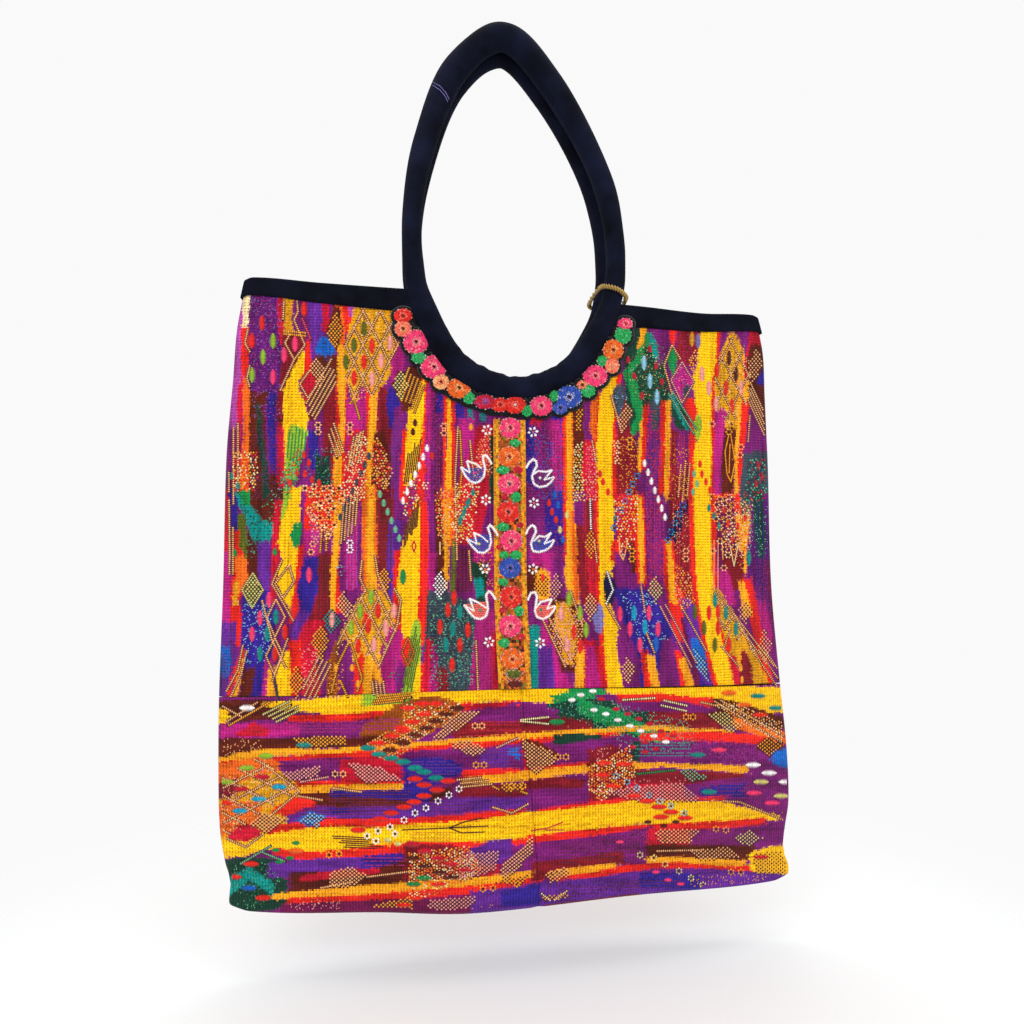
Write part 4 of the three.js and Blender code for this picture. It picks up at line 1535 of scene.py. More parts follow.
def threads(points):
    """Single threads of another colour, along the stripes inside an outline."""
    found = []
    for u in np.arange(points[:, 0].min() + 1, points[:, 0].max(), THREAD_STEPS[0]):
        u += rng.normal(0, 0.5)
        v = np.arange(points[:, 1].min(), points[:, 1].max(), THREAD_STEPS[1])
        v = v[rng.random(len(v)) < 0.8]
        found += [(u, a, *LONE_THREAD) for a in v[within(points, np.full_like(v, u), v)]]
    return found


def scatter(points, share):
    """Places strewn inside an outline, this many to a square pixel."""
    low, high = points.min(axis=0), points.max(axis=0)
    places = low + rng.random((int(np.prod(high - low) * share), 2)) * (high - low)
    return places[within(points, *places.T)]


def haze(points):
    """A thin field of small flecks."""
    return [(u, v, *FLECK, RISE) for u, v in scatter(points, HAZE)]


def mist(points):
    """A field of flecks, twice as thick."""
    return haze(points) + haze(points)


def confetti(points):
    """A field of small round dots, roughly in rows."""
    places = field(points, *DOT_STEPS)
    return [(u, v, *CONFETTI, DOT_RISE) for u, v in places + rng.normal(0, 0.4, places.shape)]


def rosettes(points):
    """A field of small rings."""
    places = field(points, *RING_STEPS)
    return rings(places + rng.normal(0, 0.9, places.shape))


def lattice(points):
    """Crossed runs inside an outline. The first point is where two of them cross."""
    anchor, outline = points[0], points[1:]
    reach = np.arange(-9, 10)
    found = []
    for way, aside in ((LATTICE, LATTICE_TURNED), (LATTICE_TURNED, LATTICE)):
        for step in reach:
            ends = anchor + aside * step + way * reach[[0, -1], None]
            dark, bright = (line_places(ends, step) for step in RUN_STEPS)
            found += under(dark[within(outline, *dark.T)])
            found += floats(bright[within(outline, *bright.T)])
    return found


# %% Ovals, beads and rings


def ovals(points, half=OVAL):
    """Ovals of close rows, each as long as the oval is wide there."""
    rows = np.arange(-half[1] + 0.6, half[1], OVAL_ROW)
    wide = 2.4 * half[0] * np.sqrt(1 - (rows / half[1]) ** 2)
    return [
        (u, v + row, length, 2 * OVAL_ROW, OVAL_RISE) for u, v in points for row, length in zip(rows, wide)
    ]


def spots(points):
    return ovals(points, SPOT)


def beads(points):
    """Spots spaced along a line."""
    return spots(line_places(points, BEAD_GAP))


def rings(points):
    """Small rings of six stitches round a dark one."""
    angles = np.arange(6) * pi / 3
    return under(points) + [
        (u + RING * cos(a), v + RING * sin(a), *RING_STITCH, DOT_RISE) for u, v in points for a in angles
    ]


FIGURES = {
    "run": runs, "stroke": strokes, "comb": comb, "teeth": teeth, "check": checks, "haze": haze,
    "mist": mist, "confetti": confetti, "lattice": lattice, "rosette": rosettes, "thread": threads,
    "oval": ovals, "spot": spots, "bead": beads, "ring": rings,
}
print("figures:", ", ".join(FIGURES))

# %% [markdown]
# ## The chart of the upper brocade
# A line names a figure and its threads, and then every place where it is woven, with a semicolon between
# places. A place is given by points: column and row in the photograph. Together they are a row of diamonds
# and lattices at the top, a zigzag of beads and checks in the middle, and diamonds and fans above the seam.

# %% Chart of the upper brocade
UPPER_BROCADE = """
oval red 262 323, 252 341, 304 309, 372 346, 364 362, 354 378, 717 370, 726 388, 732 406, 285 632, 294
  612, 275 654, 378 611, 368 626, 358 646, 440 627, 448 610, 454 598, 468 630, 460 645, 452 665, 574
  632, 580 646, 709 613, 718 628, 718 612, 729 645
oval lime 273 341, 263 357, 252 375, 699 424, 371 597, 360 611, 351 628, 569 599, 580 613, 586 630
oval pink 273 377, 284 355, 295 344, 260 618, 252 634, 269 600, 309 575, 620 614, 630 629, 640 645, 649
  613, 658 629
run peach 297 300, 298 312, 294 320, 305 345, 294 360, 280 391; 290 334, 285 343, 294 359; 284 301, 283
  320; 248 329, 245 343, 250 352; 250 365, 247 378, 250 388; 310 370, 300 384, 308 398, 317 386; 458
  426, 455 480, 457 560; 470 440, 474 480; 592 440, 596 462; 611 395, 622 434; 672 345, 664 366, 672
  394; 672 345, 681 360; 750 415, 748 442; 282 560, 272 584, 286 608, 294 622; 289 565, 294 582, 283
  598, 275 584, 289 565; 276 599, 285 617, 275 637, 267 618, 276 599; 275 638, 283 655, 274 674, 266
  656, 275 638; 288 638, 272 682; 262 600, 272 640, 286 668; 243 645, 238 670, 226 692; 247 650, 241
  675, 230 698; 362 560, 360 578, 366 592; 375 555, 378 575, 392 606; 394 588, 401 600, 397 626, 378
  668; 469 550, 471 582; 476 640, 478 690; 543 620, 566 668; 547 614, 571 660; 570 590, 583 626; 594
  540, 597 562; 606 604, 621 630; 646 632, 655 654; 680 604, 707 652; 714 588, 774 666; 714 593, 764
  660; 721 646, 740 668; 730 630, 723 650
run gold 283 331, 306 333; 283 334, 306 336; 352 392, 360 420; 358 392, 350 404; 460 430, 462 470, 459
  500; 322 530, 320 553; 327 530, 326 550; 350 640, 338 664, 331 694; 350 640, 362 678, 357 692; 340
  680, 348 698
run pink 302 318, 311 340
haze magenta+lilac+plum+orchid 250 296, 282 296, 282 420, 252 420
haze magenta+lilac+plum 250 296, 282 296, 282 330, 252 330
haze gold 284 298, 293 298, 293 334, 285 334; 620 435, 638 440, 636 500, 618 500; 672 440, 690 450, 688
  500, 672 500; 330 660, 345 660, 340 696, 328 696; 476 545, 494 545, 494 600, 476 560
check gold 337 309, 342 330, 336 351, 326 334; 576 410, 583 410, 581 430, 575 430; 384 565, 391 580, 384
  597, 377 581; 321 623, 330 640, 321 661, 310 642; 296 665, 304 680, 297 700, 287 683; 539 573, 547
  580, 545 600, 533 588; 591 527, 597 545, 590 561, 584 545
haze navy+sea 325 337, 335 353, 327 368, 316 353
check peach 316 355, 327 369, 320 388, 309 369; 627 402, 633 412, 623 434, 617 418; 756 348, 765 362,
  753 384, 747 366; 343 590, 352 605, 346 621, 335 606; 590 590, 598 605, 590 623, 583 607; 744 599, 751
  612, 746 624, 737 612; 764 626, 772 645, 765 667, 757 648; 626 656, 635 669, 628 686, 621 672
comb peach 331 360, 338 378, 306 404; 328 432, 334 424, 337 458; 354 436, 364 428, 348 470; 229 428, 238
  428, 229 500; 750 382, 748 400, 768 421; 681 464, 690 462, 678 500; 222 495, 229 495, 223 562; 226
  530, 233 530, 226 572; 344 502, 358 490, 341 542; 320 655, 331 664, 302 691; 372 680, 383 680, 374
  696; 755 654, 762 646, 778 688
lattice peach 363 311, 361 308, 396 312, 400 342, 378 392, 354 402, 344 372, 345 345; 731 341, 732 336,
  748 356, 752 392, 745 408, 728 430, 716 400, 714 378, 722 352; 370 581, 370 584, 400 624, 378 666, 352
  642, 334 658, 345 615; 725 596, 715 595, 740 620, 762 662, 745 646, 719 626
haze cream+brown+gold 361 308, 396 312, 400 342, 378 392, 354 402, 344 372, 345 345
oval olive 364 329, 354 345, 346 362, 695 612, 704 628, 715 645
oval rose 390 343, 381 361, 372 379, 702 374, 709 388, 741 388, 716 404, 332 620, 394 611, 386 628, 374
  645, 561 614, 567 645
ring peach 318 425, 318 432, 350 425, 350 432, 444 426, 444 433, 712 424, 741 447, 740 455, 313 544, 311
  552, 686 551, 686 559, 713 551, 724 568
confetti cream+peach+red 345 455, 362 430, 368 440, 364 500, 342 505
confetti peach+gold+red 378 436, 393 468, 388 492, 372 482, 370 450
haze red 366 455, 380 470, 382 500, 362 500; 646 410, 660 410, 658 500, 646 500; 646 500, 662 500, 664
  590, 648 590
bead slate 371 452, 340 518
teeth green 290 428, 306 432, 287 460
confetti mint+green+red 295 452, 303 445, 298 480, 286 500, 281 480
spot red 304 455, 309 463, 297 473, 305 474, 312 480, 319 483, 290 483, 432 456, 425 470, 418 486, 422
  494, 410 512, 406 500, 700 464, 702 474, 706 482, 710 490, 600 474, 603 482, 608 492, 597 488, 543
  578, 549 503, 552 512, 556 520, 714 500, 724 510, 738 526, 732 540, 745 518, 728 524, 740 510
confetti red+cream+gold 232 450, 258 452, 256 492, 234 490
spot teal 232 476, 238 486, 709 508, 714 516, 719 526
haze purple 252 425, 282 425, 282 500, 252 500
haze mint+teal+purple 306 448, 335 448, 333 490, 306 490
rosette gold+cream+peach 306 488, 346 488, 341 512, 327 552, 318 536, 307 508; 712 498, 736 498, 740
  540, 730 566, 720 542
mist gold+orange+maroon+orange+peach+purple 306 488, 346 488, 341 512, 327 552, 318 536, 307 508
check sand 401 370, 409 384, 401 402, 392 384; 253 576, 262 590, 252 606, 244 590; 655 575, 663 590, 656
  605, 647 590
comb gold 409 368, 424 386, 399 396
teeth brown 408 454, 421 438, 404 486; 406 522, 419 500, 404 546
spot brown 415 423, 413 432
bead white 429 444, 401 506; 643 459, 666 520
confetti peach+orange+coral 478 440, 491 432, 492 472, 474 482
confetti gold+red+cream 458 482, 480 486, 472 538, 454 545, 447 500; 614 500, 640 494, 635 540, 620 561
bead teal 475 488, 457 526; 469 500, 457 530
confetti gold+red+peach 434 492, 449 488, 448 548, 437 534
confetti red+cream+crimson 404 492, 414 478, 428 482, 426 500, 404 520
haze violet 460 400, 492 408, 492 430, 458 425
haze magenta 428 390, 444 395, 444 490, 426 490; 526 420, 562 420, 562 500, 526 500; 680 330, 698 330,
  694 362, 680 358; 528 520, 566 520, 566 560, 528 560; 478 600, 494 600, 494 690, 474 690; 752 560, 772
  560, 776 640, 756 640
thread purple 436 425, 447 425, 446 500, 436 500; 222 625, 236 625, 236 690, 222 690
thread violet 646 440, 661 440, 660 500, 646 500; 392 420, 402 420, 398 500, 390 500
thread brown 376 500, 392 500, 392 570, 378 570; 318 556, 330 556, 330 610, 318 610
thread orchid 346 520, 360 520, 360 590, 346 590; 224 330, 240 330, 236 425, 224 425
thread plum 544 430, 562 430, 564 500, 546 500; 456 550, 472 550, 472 592, 456 592
thread magenta 480 610, 494 610, 494 690, 478 690; 646 500, 664 500, 664 590, 648 590
thread crimson 582 500, 597 500, 600 580, 584 580; 672 500, 690 500, 692 600, 676 600; 671 435, 692 435,
  690 500, 671 500
thread indigo 756 500, 774 500, 778 620, 756 600
thread deep 714 500, 720 500, 718 560, 713 560
spot gold 471 427, 336 668, 352 668, 358 684, 376 668, 380 680, 741 668, 742 680
confetti gold+cream+sand 573 448, 583 440, 584 502, 572 502
confetti rose+pink+coral 585 442, 596 450, 598 502, 586 500
confetti cream+peach 614 440, 619 438, 619 466, 613 462
oval amber 692 339
oval lilac 698 341
confetti gold+peach 697 348, 690 356, 688 362, 694 380, 699 366
haze blue 530 430, 560 440, 566 500, 534 500
mist mint+green+olive+crimson+green+olive+sand 640 340, 664 346, 668 395, 640 402, 625 372
oval sky 644 363, 650 381, 657 397
spot crimson 650 349, 656 366, 662 382, 634 376, 642 396, 628 360, 758 466, 762 476, 756 484
oval green 647 340, 403 577
run rose 682 362, 671 380, 682 403, 694 382, 682 362; 641 586, 645 612; 660 606, 692 668; 665 604, 697
  664
haze lilac+rose 681 366, 690 378, 682 398, 673 380
haze lilac+sky 617 384, 627 395, 626 405, 619 418, 612 400
run mint 668 393, 694 434; 672 391, 697 430
haze cream+brown 731 345, 748 356, 752 392, 745 408, 728 430, 716 400, 714 378
oval brown 729 358, 736 374
ring gold 732 424, 729 432, 630 440, 630 447, 632 551, 632 559
stroke gold 729 434, 725 452, 727 474, 731 482, 735 462, 731 436; 730 444, 729 474
spot mint 694 474, 697 484, 693 492
ring blue+cyan 637 476, 633 484, 629 492, 625 501, 621 510, 617 519, 614 528
confetti mint+teal+crimson+forest 748 460, 767 460, 768 502, 744 502
haze mint+teal+forest 247 540, 262 545, 257 562, 246 557
haze green+forest+mint 262 505, 290 455, 304 448, 296 480, 274 520, 264 530
haze teal+forest+soot 238 490, 252 505, 272 524, 272 540, 254 542, 240 510
haze slate+green+violet 394 655, 402 672, 398 694, 388 676
spot green 235 553, 275 552
run sand 253 573, 263 590, 252 608, 242 590, 253 573
oval teal 276 617, 267 634, 260 654, 460 612, 453 629, 446 645, 715 600, 726 613, 736 629, 749 558
run slate 273 672, 278 700
haze sky 242 604, 272 604, 270 660, 244 666; 620 592, 650 592, 668 640, 640 650
confetti rose+orchid 308 514, 316 514, 322 540, 314 546
bead mint 378 490, 400 540
ring white 350 543, 350 550
haze sky+teal 340 560, 346 569, 340 578, 335 569
check teal 332 608, 342 621, 332 634, 322 621
haze cream+rust+gold 370 588, 400 624, 378 666, 352 642, 334 658, 345 615
haze rose 300 640, 320 650, 316 690, 300 690
stroke crimson 414 541, 412 546, 414 552, 416 546, 414 541
check white 440 570, 448 586, 440 602, 432 586
stroke cream 440 542, 440 554; 730 545, 734 566, 738 545
mist mint+forest+teal+mint+soot 430 596, 474 600, 474 684, 430 692
teeth olive 414 628, 421 642, 402 688
run orange 408 638, 414 652, 408 666, 402 652, 408 638
check rose 556 572, 563 585, 556 601, 547 590
spot blue 555 495, 558 505, 563 540
spot sand 567 515, 560 530
confetti gold+peach+rose 548 625, 564 599, 585 620, 576 670, 561 660
run white 590 498, 591 530; 607 571, 613 590, 606 604
stroke peach 619 538, 620 554, 623 560, 625 554, 628 538; 714 540, 714 590; 718 540, 718 590; 722 540,
  723 560
oval cyan 634 613, 645 627
oval blue 656 644
ring sea+cyan 683 505, 679 514, 675 523, 671 532, 668 540
confetti gold+peach+orange 676 563, 691 575, 695 602, 684 612, 673 600
haze gold+cream 715 595, 740 620, 762 662, 745 646, 719 626
check sky 692 643, 705 660, 709 682, 697 668
confetti gold+cream+red 737 500, 752 504, 750 540, 742 566, 738 540
mist gold+rose+cream+gold+red+magenta 712 494, 752 494, 751 546, 742 570, 722 542
haze mint 744 500, 772 500, 772 556, 750 556
haze peach 672 500, 690 520, 690 560, 674 560
"""

# %% [markdown]
# ## The chart of the lower brocade
# The band's cloth is turned, and so are its figures: ovals lie on their sides and stitches stand up. A chain
# of beads zigzags across it, as it does higher up.

# %% Chart of the lower brocade
LOWER_BROCADE = """
oval white 247 708, 753 765, 769 773, 786 782
run gold 270 702, 228 726; 492 786, 500 790; 520 791, 528 794
run peach 258 702, 226 722; 222 706, 242 717; 266 766, 300 791, 270 816; 226 838, 246 847, 263 834; 333
  788, 362 792; 298 796, 322 800; 366 877, 413 871; 320 888, 352 882; 492 807, 512 813, 528 804; 700
  702, 718 706; 714 701, 783 743; 720 700, 787 738; 722 801, 740 802, 783 820; 656 851, 702 850
comb sand 264 714, 276 722, 290 701
oval teal 304 745, 368 748, 379 754, 391 758, 403 762, 415 768, 424 772, 436 778, 758 696, 776 708, 698
  755, 709 792
lattice peach 284 757, 222 776, 262 756, 286 782, 300 790, 262 812, 240 830, 221 838
haze gold+cream+rose 222 776, 262 756, 286 782, 300 790, 262 812, 240 830, 221 838
oval lime 266 756, 247 768, 226 782
oval crimson 262 777, 241 789, 257 730, 412 844, 425 851, 438 858, 451 864, 465 870, 761 857
oval cyan 279 787, 259 799, 240 811
oval red 225 803, 358 830, 369 824, 380 819, 391 813, 404 807, 251 864, 234 877, 263 898, 408 708, 422
  704, 436 704, 424 714, 412 722, 403 731, 378 743, 392 736, 402 728, 415 779, 424 785, 437 790, 448
  781, 424 796, 414 802, 438 884, 428 892, 416 898, 404 905, 760 715, 604 763, 624 764, 602 775, 613
  786, 634 796, 647 801, 659 807, 671 812, 661 817, 685 818
check peach 262 811, 286 818, 268 833, 249 824; 328 873, 352 866, 368 876, 350 887, 330 887; 458 712,
  482 712, 468 724, 440 739, 430 739; 449 742, 470 739, 486 750, 474 757, 456 749; 521 738, 553 752, 555
  762, 536 773, 527 766; 499 869, 533 836, 534 851, 506 881; 654 830, 701 828, 690 843, 660 843; 690
  851, 730 846, 742 858, 700 859; 544 873, 566 866, 571 876, 550 883
haze peach 224 738, 262 740, 262 750, 222 756
check gold 290 738, 345 735, 346 745, 300 747; 370 906, 413 896, 413 915, 380 916; 500 784, 522 782, 524
  790, 505 792; 494 881, 531 872, 520 885; 756 745, 770 737, 782 746, 768 757; 752 852, 787 849, 789
  873, 756 873; 541 897, 571 892, 556 908
check rose 282 773, 320 765, 319 777, 292 781; 347 762, 380 767, 403 780, 364 783; 456 856, 500 850, 496
  870, 460 881; 430 900, 480 895, 460 915, 424 913; 590 791, 680 782, 700 800, 640 801
run rose 300 782, 328 777; 496 748, 518 738
ring peach 335 774, 343 774, 475 726, 482 726
check sky 299 821, 310 812, 325 816, 318 827
teeth brown 331 836, 344 847, 371 838
ring white 390 827, 378 831, 367 836, 376 841, 395 834, 459 789, 449 795, 438 801, 426 808, 415 813, 404
  820
spot sand 388 840, 398 844
ring gold 329 855, 339 854, 476 765, 484 765, 558 757, 566 757, 512 786, 523 786, 483 889, 493 888, 517
  884, 686 717, 693 717, 716 829, 726 830, 731 872, 741 872, 552 874
spot green 276 850, 296 843, 290 858, 279 862
oval orange 296 851, 729 693, 744 705
oval blue 249 888
run mint 240 864, 271 846; 262 852, 286 862
haze mint+green+soot 226 866, 268 862, 281 880, 262 909, 236 909
haze rose 290 902, 340 898, 340 912, 292 912; 592 750, 628 742, 622 753, 596 761
comb gold 372 704, 380 696, 408 700
haze magenta 290 722, 400 718, 400 732, 292 734
confetti gold+cream+orange 402 705, 462 702, 450 720, 405 748; 407 853, 470 846, 482 870, 440 893, 409
  901; 589 766, 630 745, 636 776, 602 801, 587 790
oval brown 457 708, 446 714, 436 721, 426 728, 415 735, 403 742, 390 750, 403 743, 413 858, 425 866, 439
  872, 452 877
confetti gold+peach+orange 365 742, 410 722, 412 750, 384 761
comb peach 456 780, 462 787, 486 777
stroke umber 402 830, 449 828, 464 822, 482 818; 449 828, 468 827, 488 826; 449 828, 462 833, 484 832
stroke crimson 531 831, 548 828, 563 822; 545 830, 563 830
thread amber 410 832, 452 831, 450 842, 412 844
thread violet 410 760, 440 757, 462 768, 440 784, 408 784
thread purple 430 800, 470 798, 470 815, 430 816; 480 750, 520 746, 520 768, 484 770; 690 786, 760 780,
  760 800, 690 802
thread plum 330 792, 410 790, 410 806, 330 804; 556 846, 640 832, 640 852, 560 866; 560 888, 680 876,
  680 898, 560 908; 300 808, 400 806, 400 818, 300 820; 690 832, 760 828, 760 842, 690 846
thread magenta 362 856, 405 854, 405 866, 364 867; 290 724, 400 718, 400 730, 292 734
thread crimson 470 722, 522 721, 522 735, 470 737
thread teal 634 744, 690 742, 690 756, 636 758
haze orchid+plum 690 738, 760 740, 760 762, 690 760
oval green 424 878, 414 884, 557 722
haze gold 450 912, 496 904, 486 917; 690 875, 770 875, 760 890, 690 892
haze violet 500 800, 528 800, 528 812, 500 812; 560 890, 640 884, 640 900, 560 906
run cream 520 720, 549 717; 520 721, 549 724; 541 893, 552 902, 568 890; 622 700, 655 698
haze mint+teal 545 708, 575 690, 620 703, 690 722, 700 745, 650 756, 600 730
haze mint+soot 590 702, 620 703, 690 722, 690 730, 640 722
spot white 572 700, 581 695, 593 691, 594 710, 606 714, 618 720, 630 726, 641 731, 654 736, 666 742
spot crimson 616 709, 628 714, 639 719, 650 724, 661 731, 673 736, 645 742, 633 747, 656 749, 645 752,
  601 699
confetti gold+peach+cream 714 704, 740 704, 785 724, 782 741, 750 729
check sand 705 714, 726 711, 743 726, 730 733; 734 838, 750 829, 763 838, 748 847
oval pink 719 750, 754 793, 772 803
oval sand 761 782, 781 796
run green 636 774, 676 770
check mint 677 771, 690 768, 709 778, 690 781
ring cyan+sky 616 776, 627 782, 637 788, 649 795, 660 801, 671 806, 684 813
haze soot+plum+forest 592 836, 650 830, 655 858, 592 866
haze soot+deep 560 884, 700 870, 700 892, 560 906
haze magenta+plum+soot 690 738, 752 742, 752 764, 690 762; 700 786, 780 780, 786 810, 730 802
spot brown 648 822, 664 826, 676 822
ring sand 640 855, 654 858, 665 864, 679 871, 691 878, 703 885
spot pink 656 872, 668 880, 681 884, 620 842
haze rose+crimson 632 776, 690 778, 690 786, 634 784
comb cream 662 700, 660 705, 688 706
"""

# %% Sewing the brocade


def read_figures(text, turned):
    """A chart's stitches: column, row, length, width, height and thread colour."""
    found = []
    for line in read_lines(text):
        figure, name, places = line.split(" ", 2)
        dyes = np.array([dye(word) for word in name.split("+")])
        for place in places.split(";"):
            points = read_points(place)
            made = np.array(FIGURES[figure](points[:, ::-1] if turned else points))
            if turned:
                made[:, :2] = made[:, 1::-1]
            colours = dyes[rng.integers(len(dyes), size=len(made))]
            colours[made[:, 4] == UNDER[2]] = dye("umber")
            found.append(np.column_stack((made, colours)))
    return np.vstack(found)


def sew_brocade(name, stitches, turned, side):
    """One mesh of a chart's stitches on the front, or turned round onto the back."""
    place = on_front(stitches[:, 0], stitches[:, 1], wall_depth)
    edge = half_width(place[:, 0], place[:, 2]) - np.abs(place[:, 0])
    bottom = bottom_height(place[:, 0])
    reach = FOLD_ROUND * 0.8 * inner_face(place[:, 0], bottom)
    held = (edge > EDGE_ROUND) & (bottom - place[:, 2] < reach)
    if side > 0:  # the back is plainer: no dark stitches under the others and no flecks
        held &= (stitches[:, 4] >= RISE) & (stitches[:, 3] > 2)
    stitches, place = stitches[held], place[held]
    if side > 0:
        x, z = place[:, 0], place[:, 2]
        x = -x * half_width(-x, z) / half_width(x, z)
        place = np.column_stack((x, wall_depth(x, z), z))
    normal = cloth_normal(place, wall_depth, side)
    along = np.tile((0, 0, 1.0) if turned else (1.0, 0, 0), (len(place), 1))
    colours = np.clip(stitches[:, 5:] * rng.normal(1, 0.1, (len(place), 1)), 0, 1)
    piece = stitch_mesh(
        name, place, normal, along, stitches[:, 2] * PIXEL, stitches[:, 3] * PIXEL, stitches[:, 4], colours)
    dress(piece, thread, "band_cloth" if turned else "brocade")
    return piece


upper_stitches = read_figures(UPPER_BROCADE, turned=False)
lower_stitches = read_figures(LOWER_BROCADE, turned=True)
for side, word in ((-1, "front"), (1, "back")):
    sew_brocade("upper_brocade_" + word, upper_stitches, False, side)
    sew_brocade("lower_brocade_" + word, lower_stitches, True, side)
print(len(upper_stitches), "stitches above and", len(lower_stitches), "below, on each side")

# %% [markdown]
# ## Embroidery
# The collar and the strip are covered with flowers in satin stitch, and white swans and small flowers are
# sewn beside the strip. A flower is a low padded dome under short stitches, set like the seeds of a sunflower
# so that they cover it evenly, paler at the rim and with painted shade between its petals. These stitches can
# lie at any angle, so each one has its own angle, size, height and lift off the cloth.

# %% Sizes of the embroidery
SEED_TURN = 2.4  # radians from one stitch of a flower to the next
STITCHES = 0.62  # stitches to a square pixel of half width times half height
PALE_RIM = 0.84  # share of the way out where the pale stitches start
PALE_MIDDLE = 0.42  # and where the pale ones round the eye end
PALE_CHANCE = 0.12  # share of pale stitches between the two
PALE_FLOWER = 0.7  # and at the rim of a flower or leaf
PALE_LEAF = 0.4
SEED_REACH = 0.96  # how far out on a pad the stitches lie
SEED_VARY = 0.22
PETALS = 7
# Painted shade: a flower's stitches are coloured darker in the creases between its petals.
PETAL_CREASE_SHADE = 0.5  # how much darker a flower is between its petals
FLOWER_RISE = 1.3  # height of a flower's pad in millimetres
LEAF_RISE = 1.0
SEED = (2.6, 2.1, 0.45)  # a flower's stitch: length and width in pixels, height in millimetres
EYE = (4.4, 4.4, 0.9)
EYE_RING = (2.4, 1.6, 0.6)
EYE_REACH = 3  # pixels from the eye's middle to its ring
PETAL = (4.6, 3.4, 0.9)  # a daisy's
PETAL_REACH = 3.9
DAISY_EYE = (2.6, 2.6, 1.1)
CHAIN_LINK = 3.4
CHAIN_STEP = 1.8
PAD_SIDES = 20
PAD_OUT = np.array((0, 0.4, 0.8, 1))  # share of the way out at each ring of a pad
PAD_HEIGHT = np.array((1, 0.97, 0.7, -0.15))  # and of its height

# %% Padded ovals


def pad_mesh(name, pads, depth_of, slot):
    """Padded ovals in one mesh. Each is a low dome: rings round a middle, closed underneath."""
    angle = np.arange(PAD_SIDES) * 2 * pi / PAD_SIDES
    side = np.arange(PAD_SIDES)
    after = (side + 1) % PAD_SIDES
    out = np.repeat(PAD_OUT[::-1], PAD_SIDES)[: 3 * PAD_SIDES + 1]
    round_it = np.tile(angle, 4)[: 3 * PAD_SIDES + 1]
    faces = [tuple(side)]
    for ring in (0, PAD_SIDES):
        faces += zip(ring + side, ring + PAD_SIDES + side, ring + PAD_SIDES + after, ring + after)
    faces += [(2 * PAD_SIDES + one, 3 * PAD_SIDES, 2 * PAD_SIDES + two) for one, two in zip(side, after)]
    points, joined, colours = [], [], []
    for u, v, wide, high, rise, tint in pads:
        place = on_front(u + wide * out * np.cos(round_it), v + high * out * np.sin(round_it), depth_of)
        lift = rise * np.interp(out, PAD_OUT, PAD_HEIGHT)
        joined += [tuple(int(corner) + len(points) * len(place) for corner in face) for face in faces]
        points.append(place + cloth_normal(place, depth_of, -1) * lift[:, None])
        colours += [dye(tint)] * len(faces)
    piece = new_piece(name, np.vstack(points), joined)
    paint(piece.data, np.array(colours))
    piece.data.shade_smooth()
    dress(piece, thread, slot)


# %% Satin stitch


def satin(u, v, size, angle, name, vary=0.1, lift=0.0, shade=1.0):
    """One stitch: its place, length, width and angle in the photograph, its height, lift and colour."""
    length, width, rise = size
    colour = dye(name) * shade * rng.normal(1, vary)
    return (u, v, length, width, angle, rise, lift, *np.clip(colour, 0, 1))


def seeds(u, v, wide, high, rise, main, light, pale_rim):
    """Short stitches all over a pad, set like the seeds of a sunflower, with painted shade between the
    petals.
    """
    sewn = []
    count = int(STITCHES * wide * high)
    for number in range(count):
        out = SEED_REACH * np.sqrt((number + 0.5) / count)
        angle = number * SEED_TURN
        pale = pale_rim if out > PALE_RIM or out < PALE_MIDDLE else PALE_CHANCE
        tint = light if rng.random() < pale else main
        # painted shade in the creases between the petals
        shade = 1 - PETAL_CREASE_SHADE * cos(PETALS * angle / 2) ** 6
        tint = "pearl" if out > PALE_RIM and rng.random() < pale_rim / 2 else tint
        place = (u + out * wide * cos(angle), v + out * high * sin(angle))
        lift = rise * np.interp(out, PAD_OUT, PAD_HEIGHT)
        sewn.append(satin(*place, SEED, angle + pi / 2, tint, SEED_VARY, lift, shade))
    return sewn


def satin_flower(u, v, wide, high, main, light, eye):
    """The stitches of a flower: all over its pad, and an eye in a pale ring."""
    sewn = seeds(u, v, wide, high, FLOWER_RISE, main, light, PALE_FLOWER)
    for angle in np.arange(8) * pi / 4:
        place = (u + EYE_REACH * cos(angle), v + EYE_REACH * sin(angle))
        sewn.append(satin(*place, EYE_RING, angle + pi / 2, light, lift=FLOWER_RISE))
    return sewn + [satin(u, v, EYE, 0, eye, lift=FLOWER_RISE)]


def satin_leaf(u, v, wide, high, main, light):
    """The stitches of a leaf or bud."""
    return seeds(u, v, wide, high, LEAF_RISE, main, light, PALE_LEAF)


def chain(points, name, width=3.8, rise=1.0):
    """Chain stitch along a line: long stitches that overlap and follow it."""
    places = line_places(points, CHAIN_STEP)
    ways = np.gradient(places, axis=0) if len(places) > 1 else np.diff(points, axis=0)
    return [
        satin(u, v, (CHAIN_LINK, width, rise), np.arctan2(way[1], way[0]), name, 0.04)
        for (u, v), way in zip(places, ways)
    ]


def daisy(u, v):
    """A white flower of six petals with a red eye."""
    turn = rng.random()
    sewn = [
        satin(u + PETAL_REACH * cos(a), v + PETAL_REACH * sin(a), PETAL, a, "white", 0.03)
        for a in turn + np.arange(6) * pi / 3
    ]
    return sewn + [satin(u, v, DAISY_EYE, 0, "coral")]


def sew_satin(name, sewn, depth_of, slot):
    """One mesh of satin stitches on the front."""
    rows = np.array(sewn)
    u, v, length, width, angle, rise, lift = rows[:, :7].T
    place = on_front(u, v, depth_of)
    normal = cloth_normal(place, depth_of, -1)
    place = place + normal * lift[:, None]
    along = np.column_stack((np.cos(angle), np.zeros(len(rows)), -np.sin(angle)))
    piece = stitch_mesh(name, place, normal, along, length * PIXEL, width * PIXEL, rise, rows[:, 7:])
    dress(piece, thread, slot)
    return piece


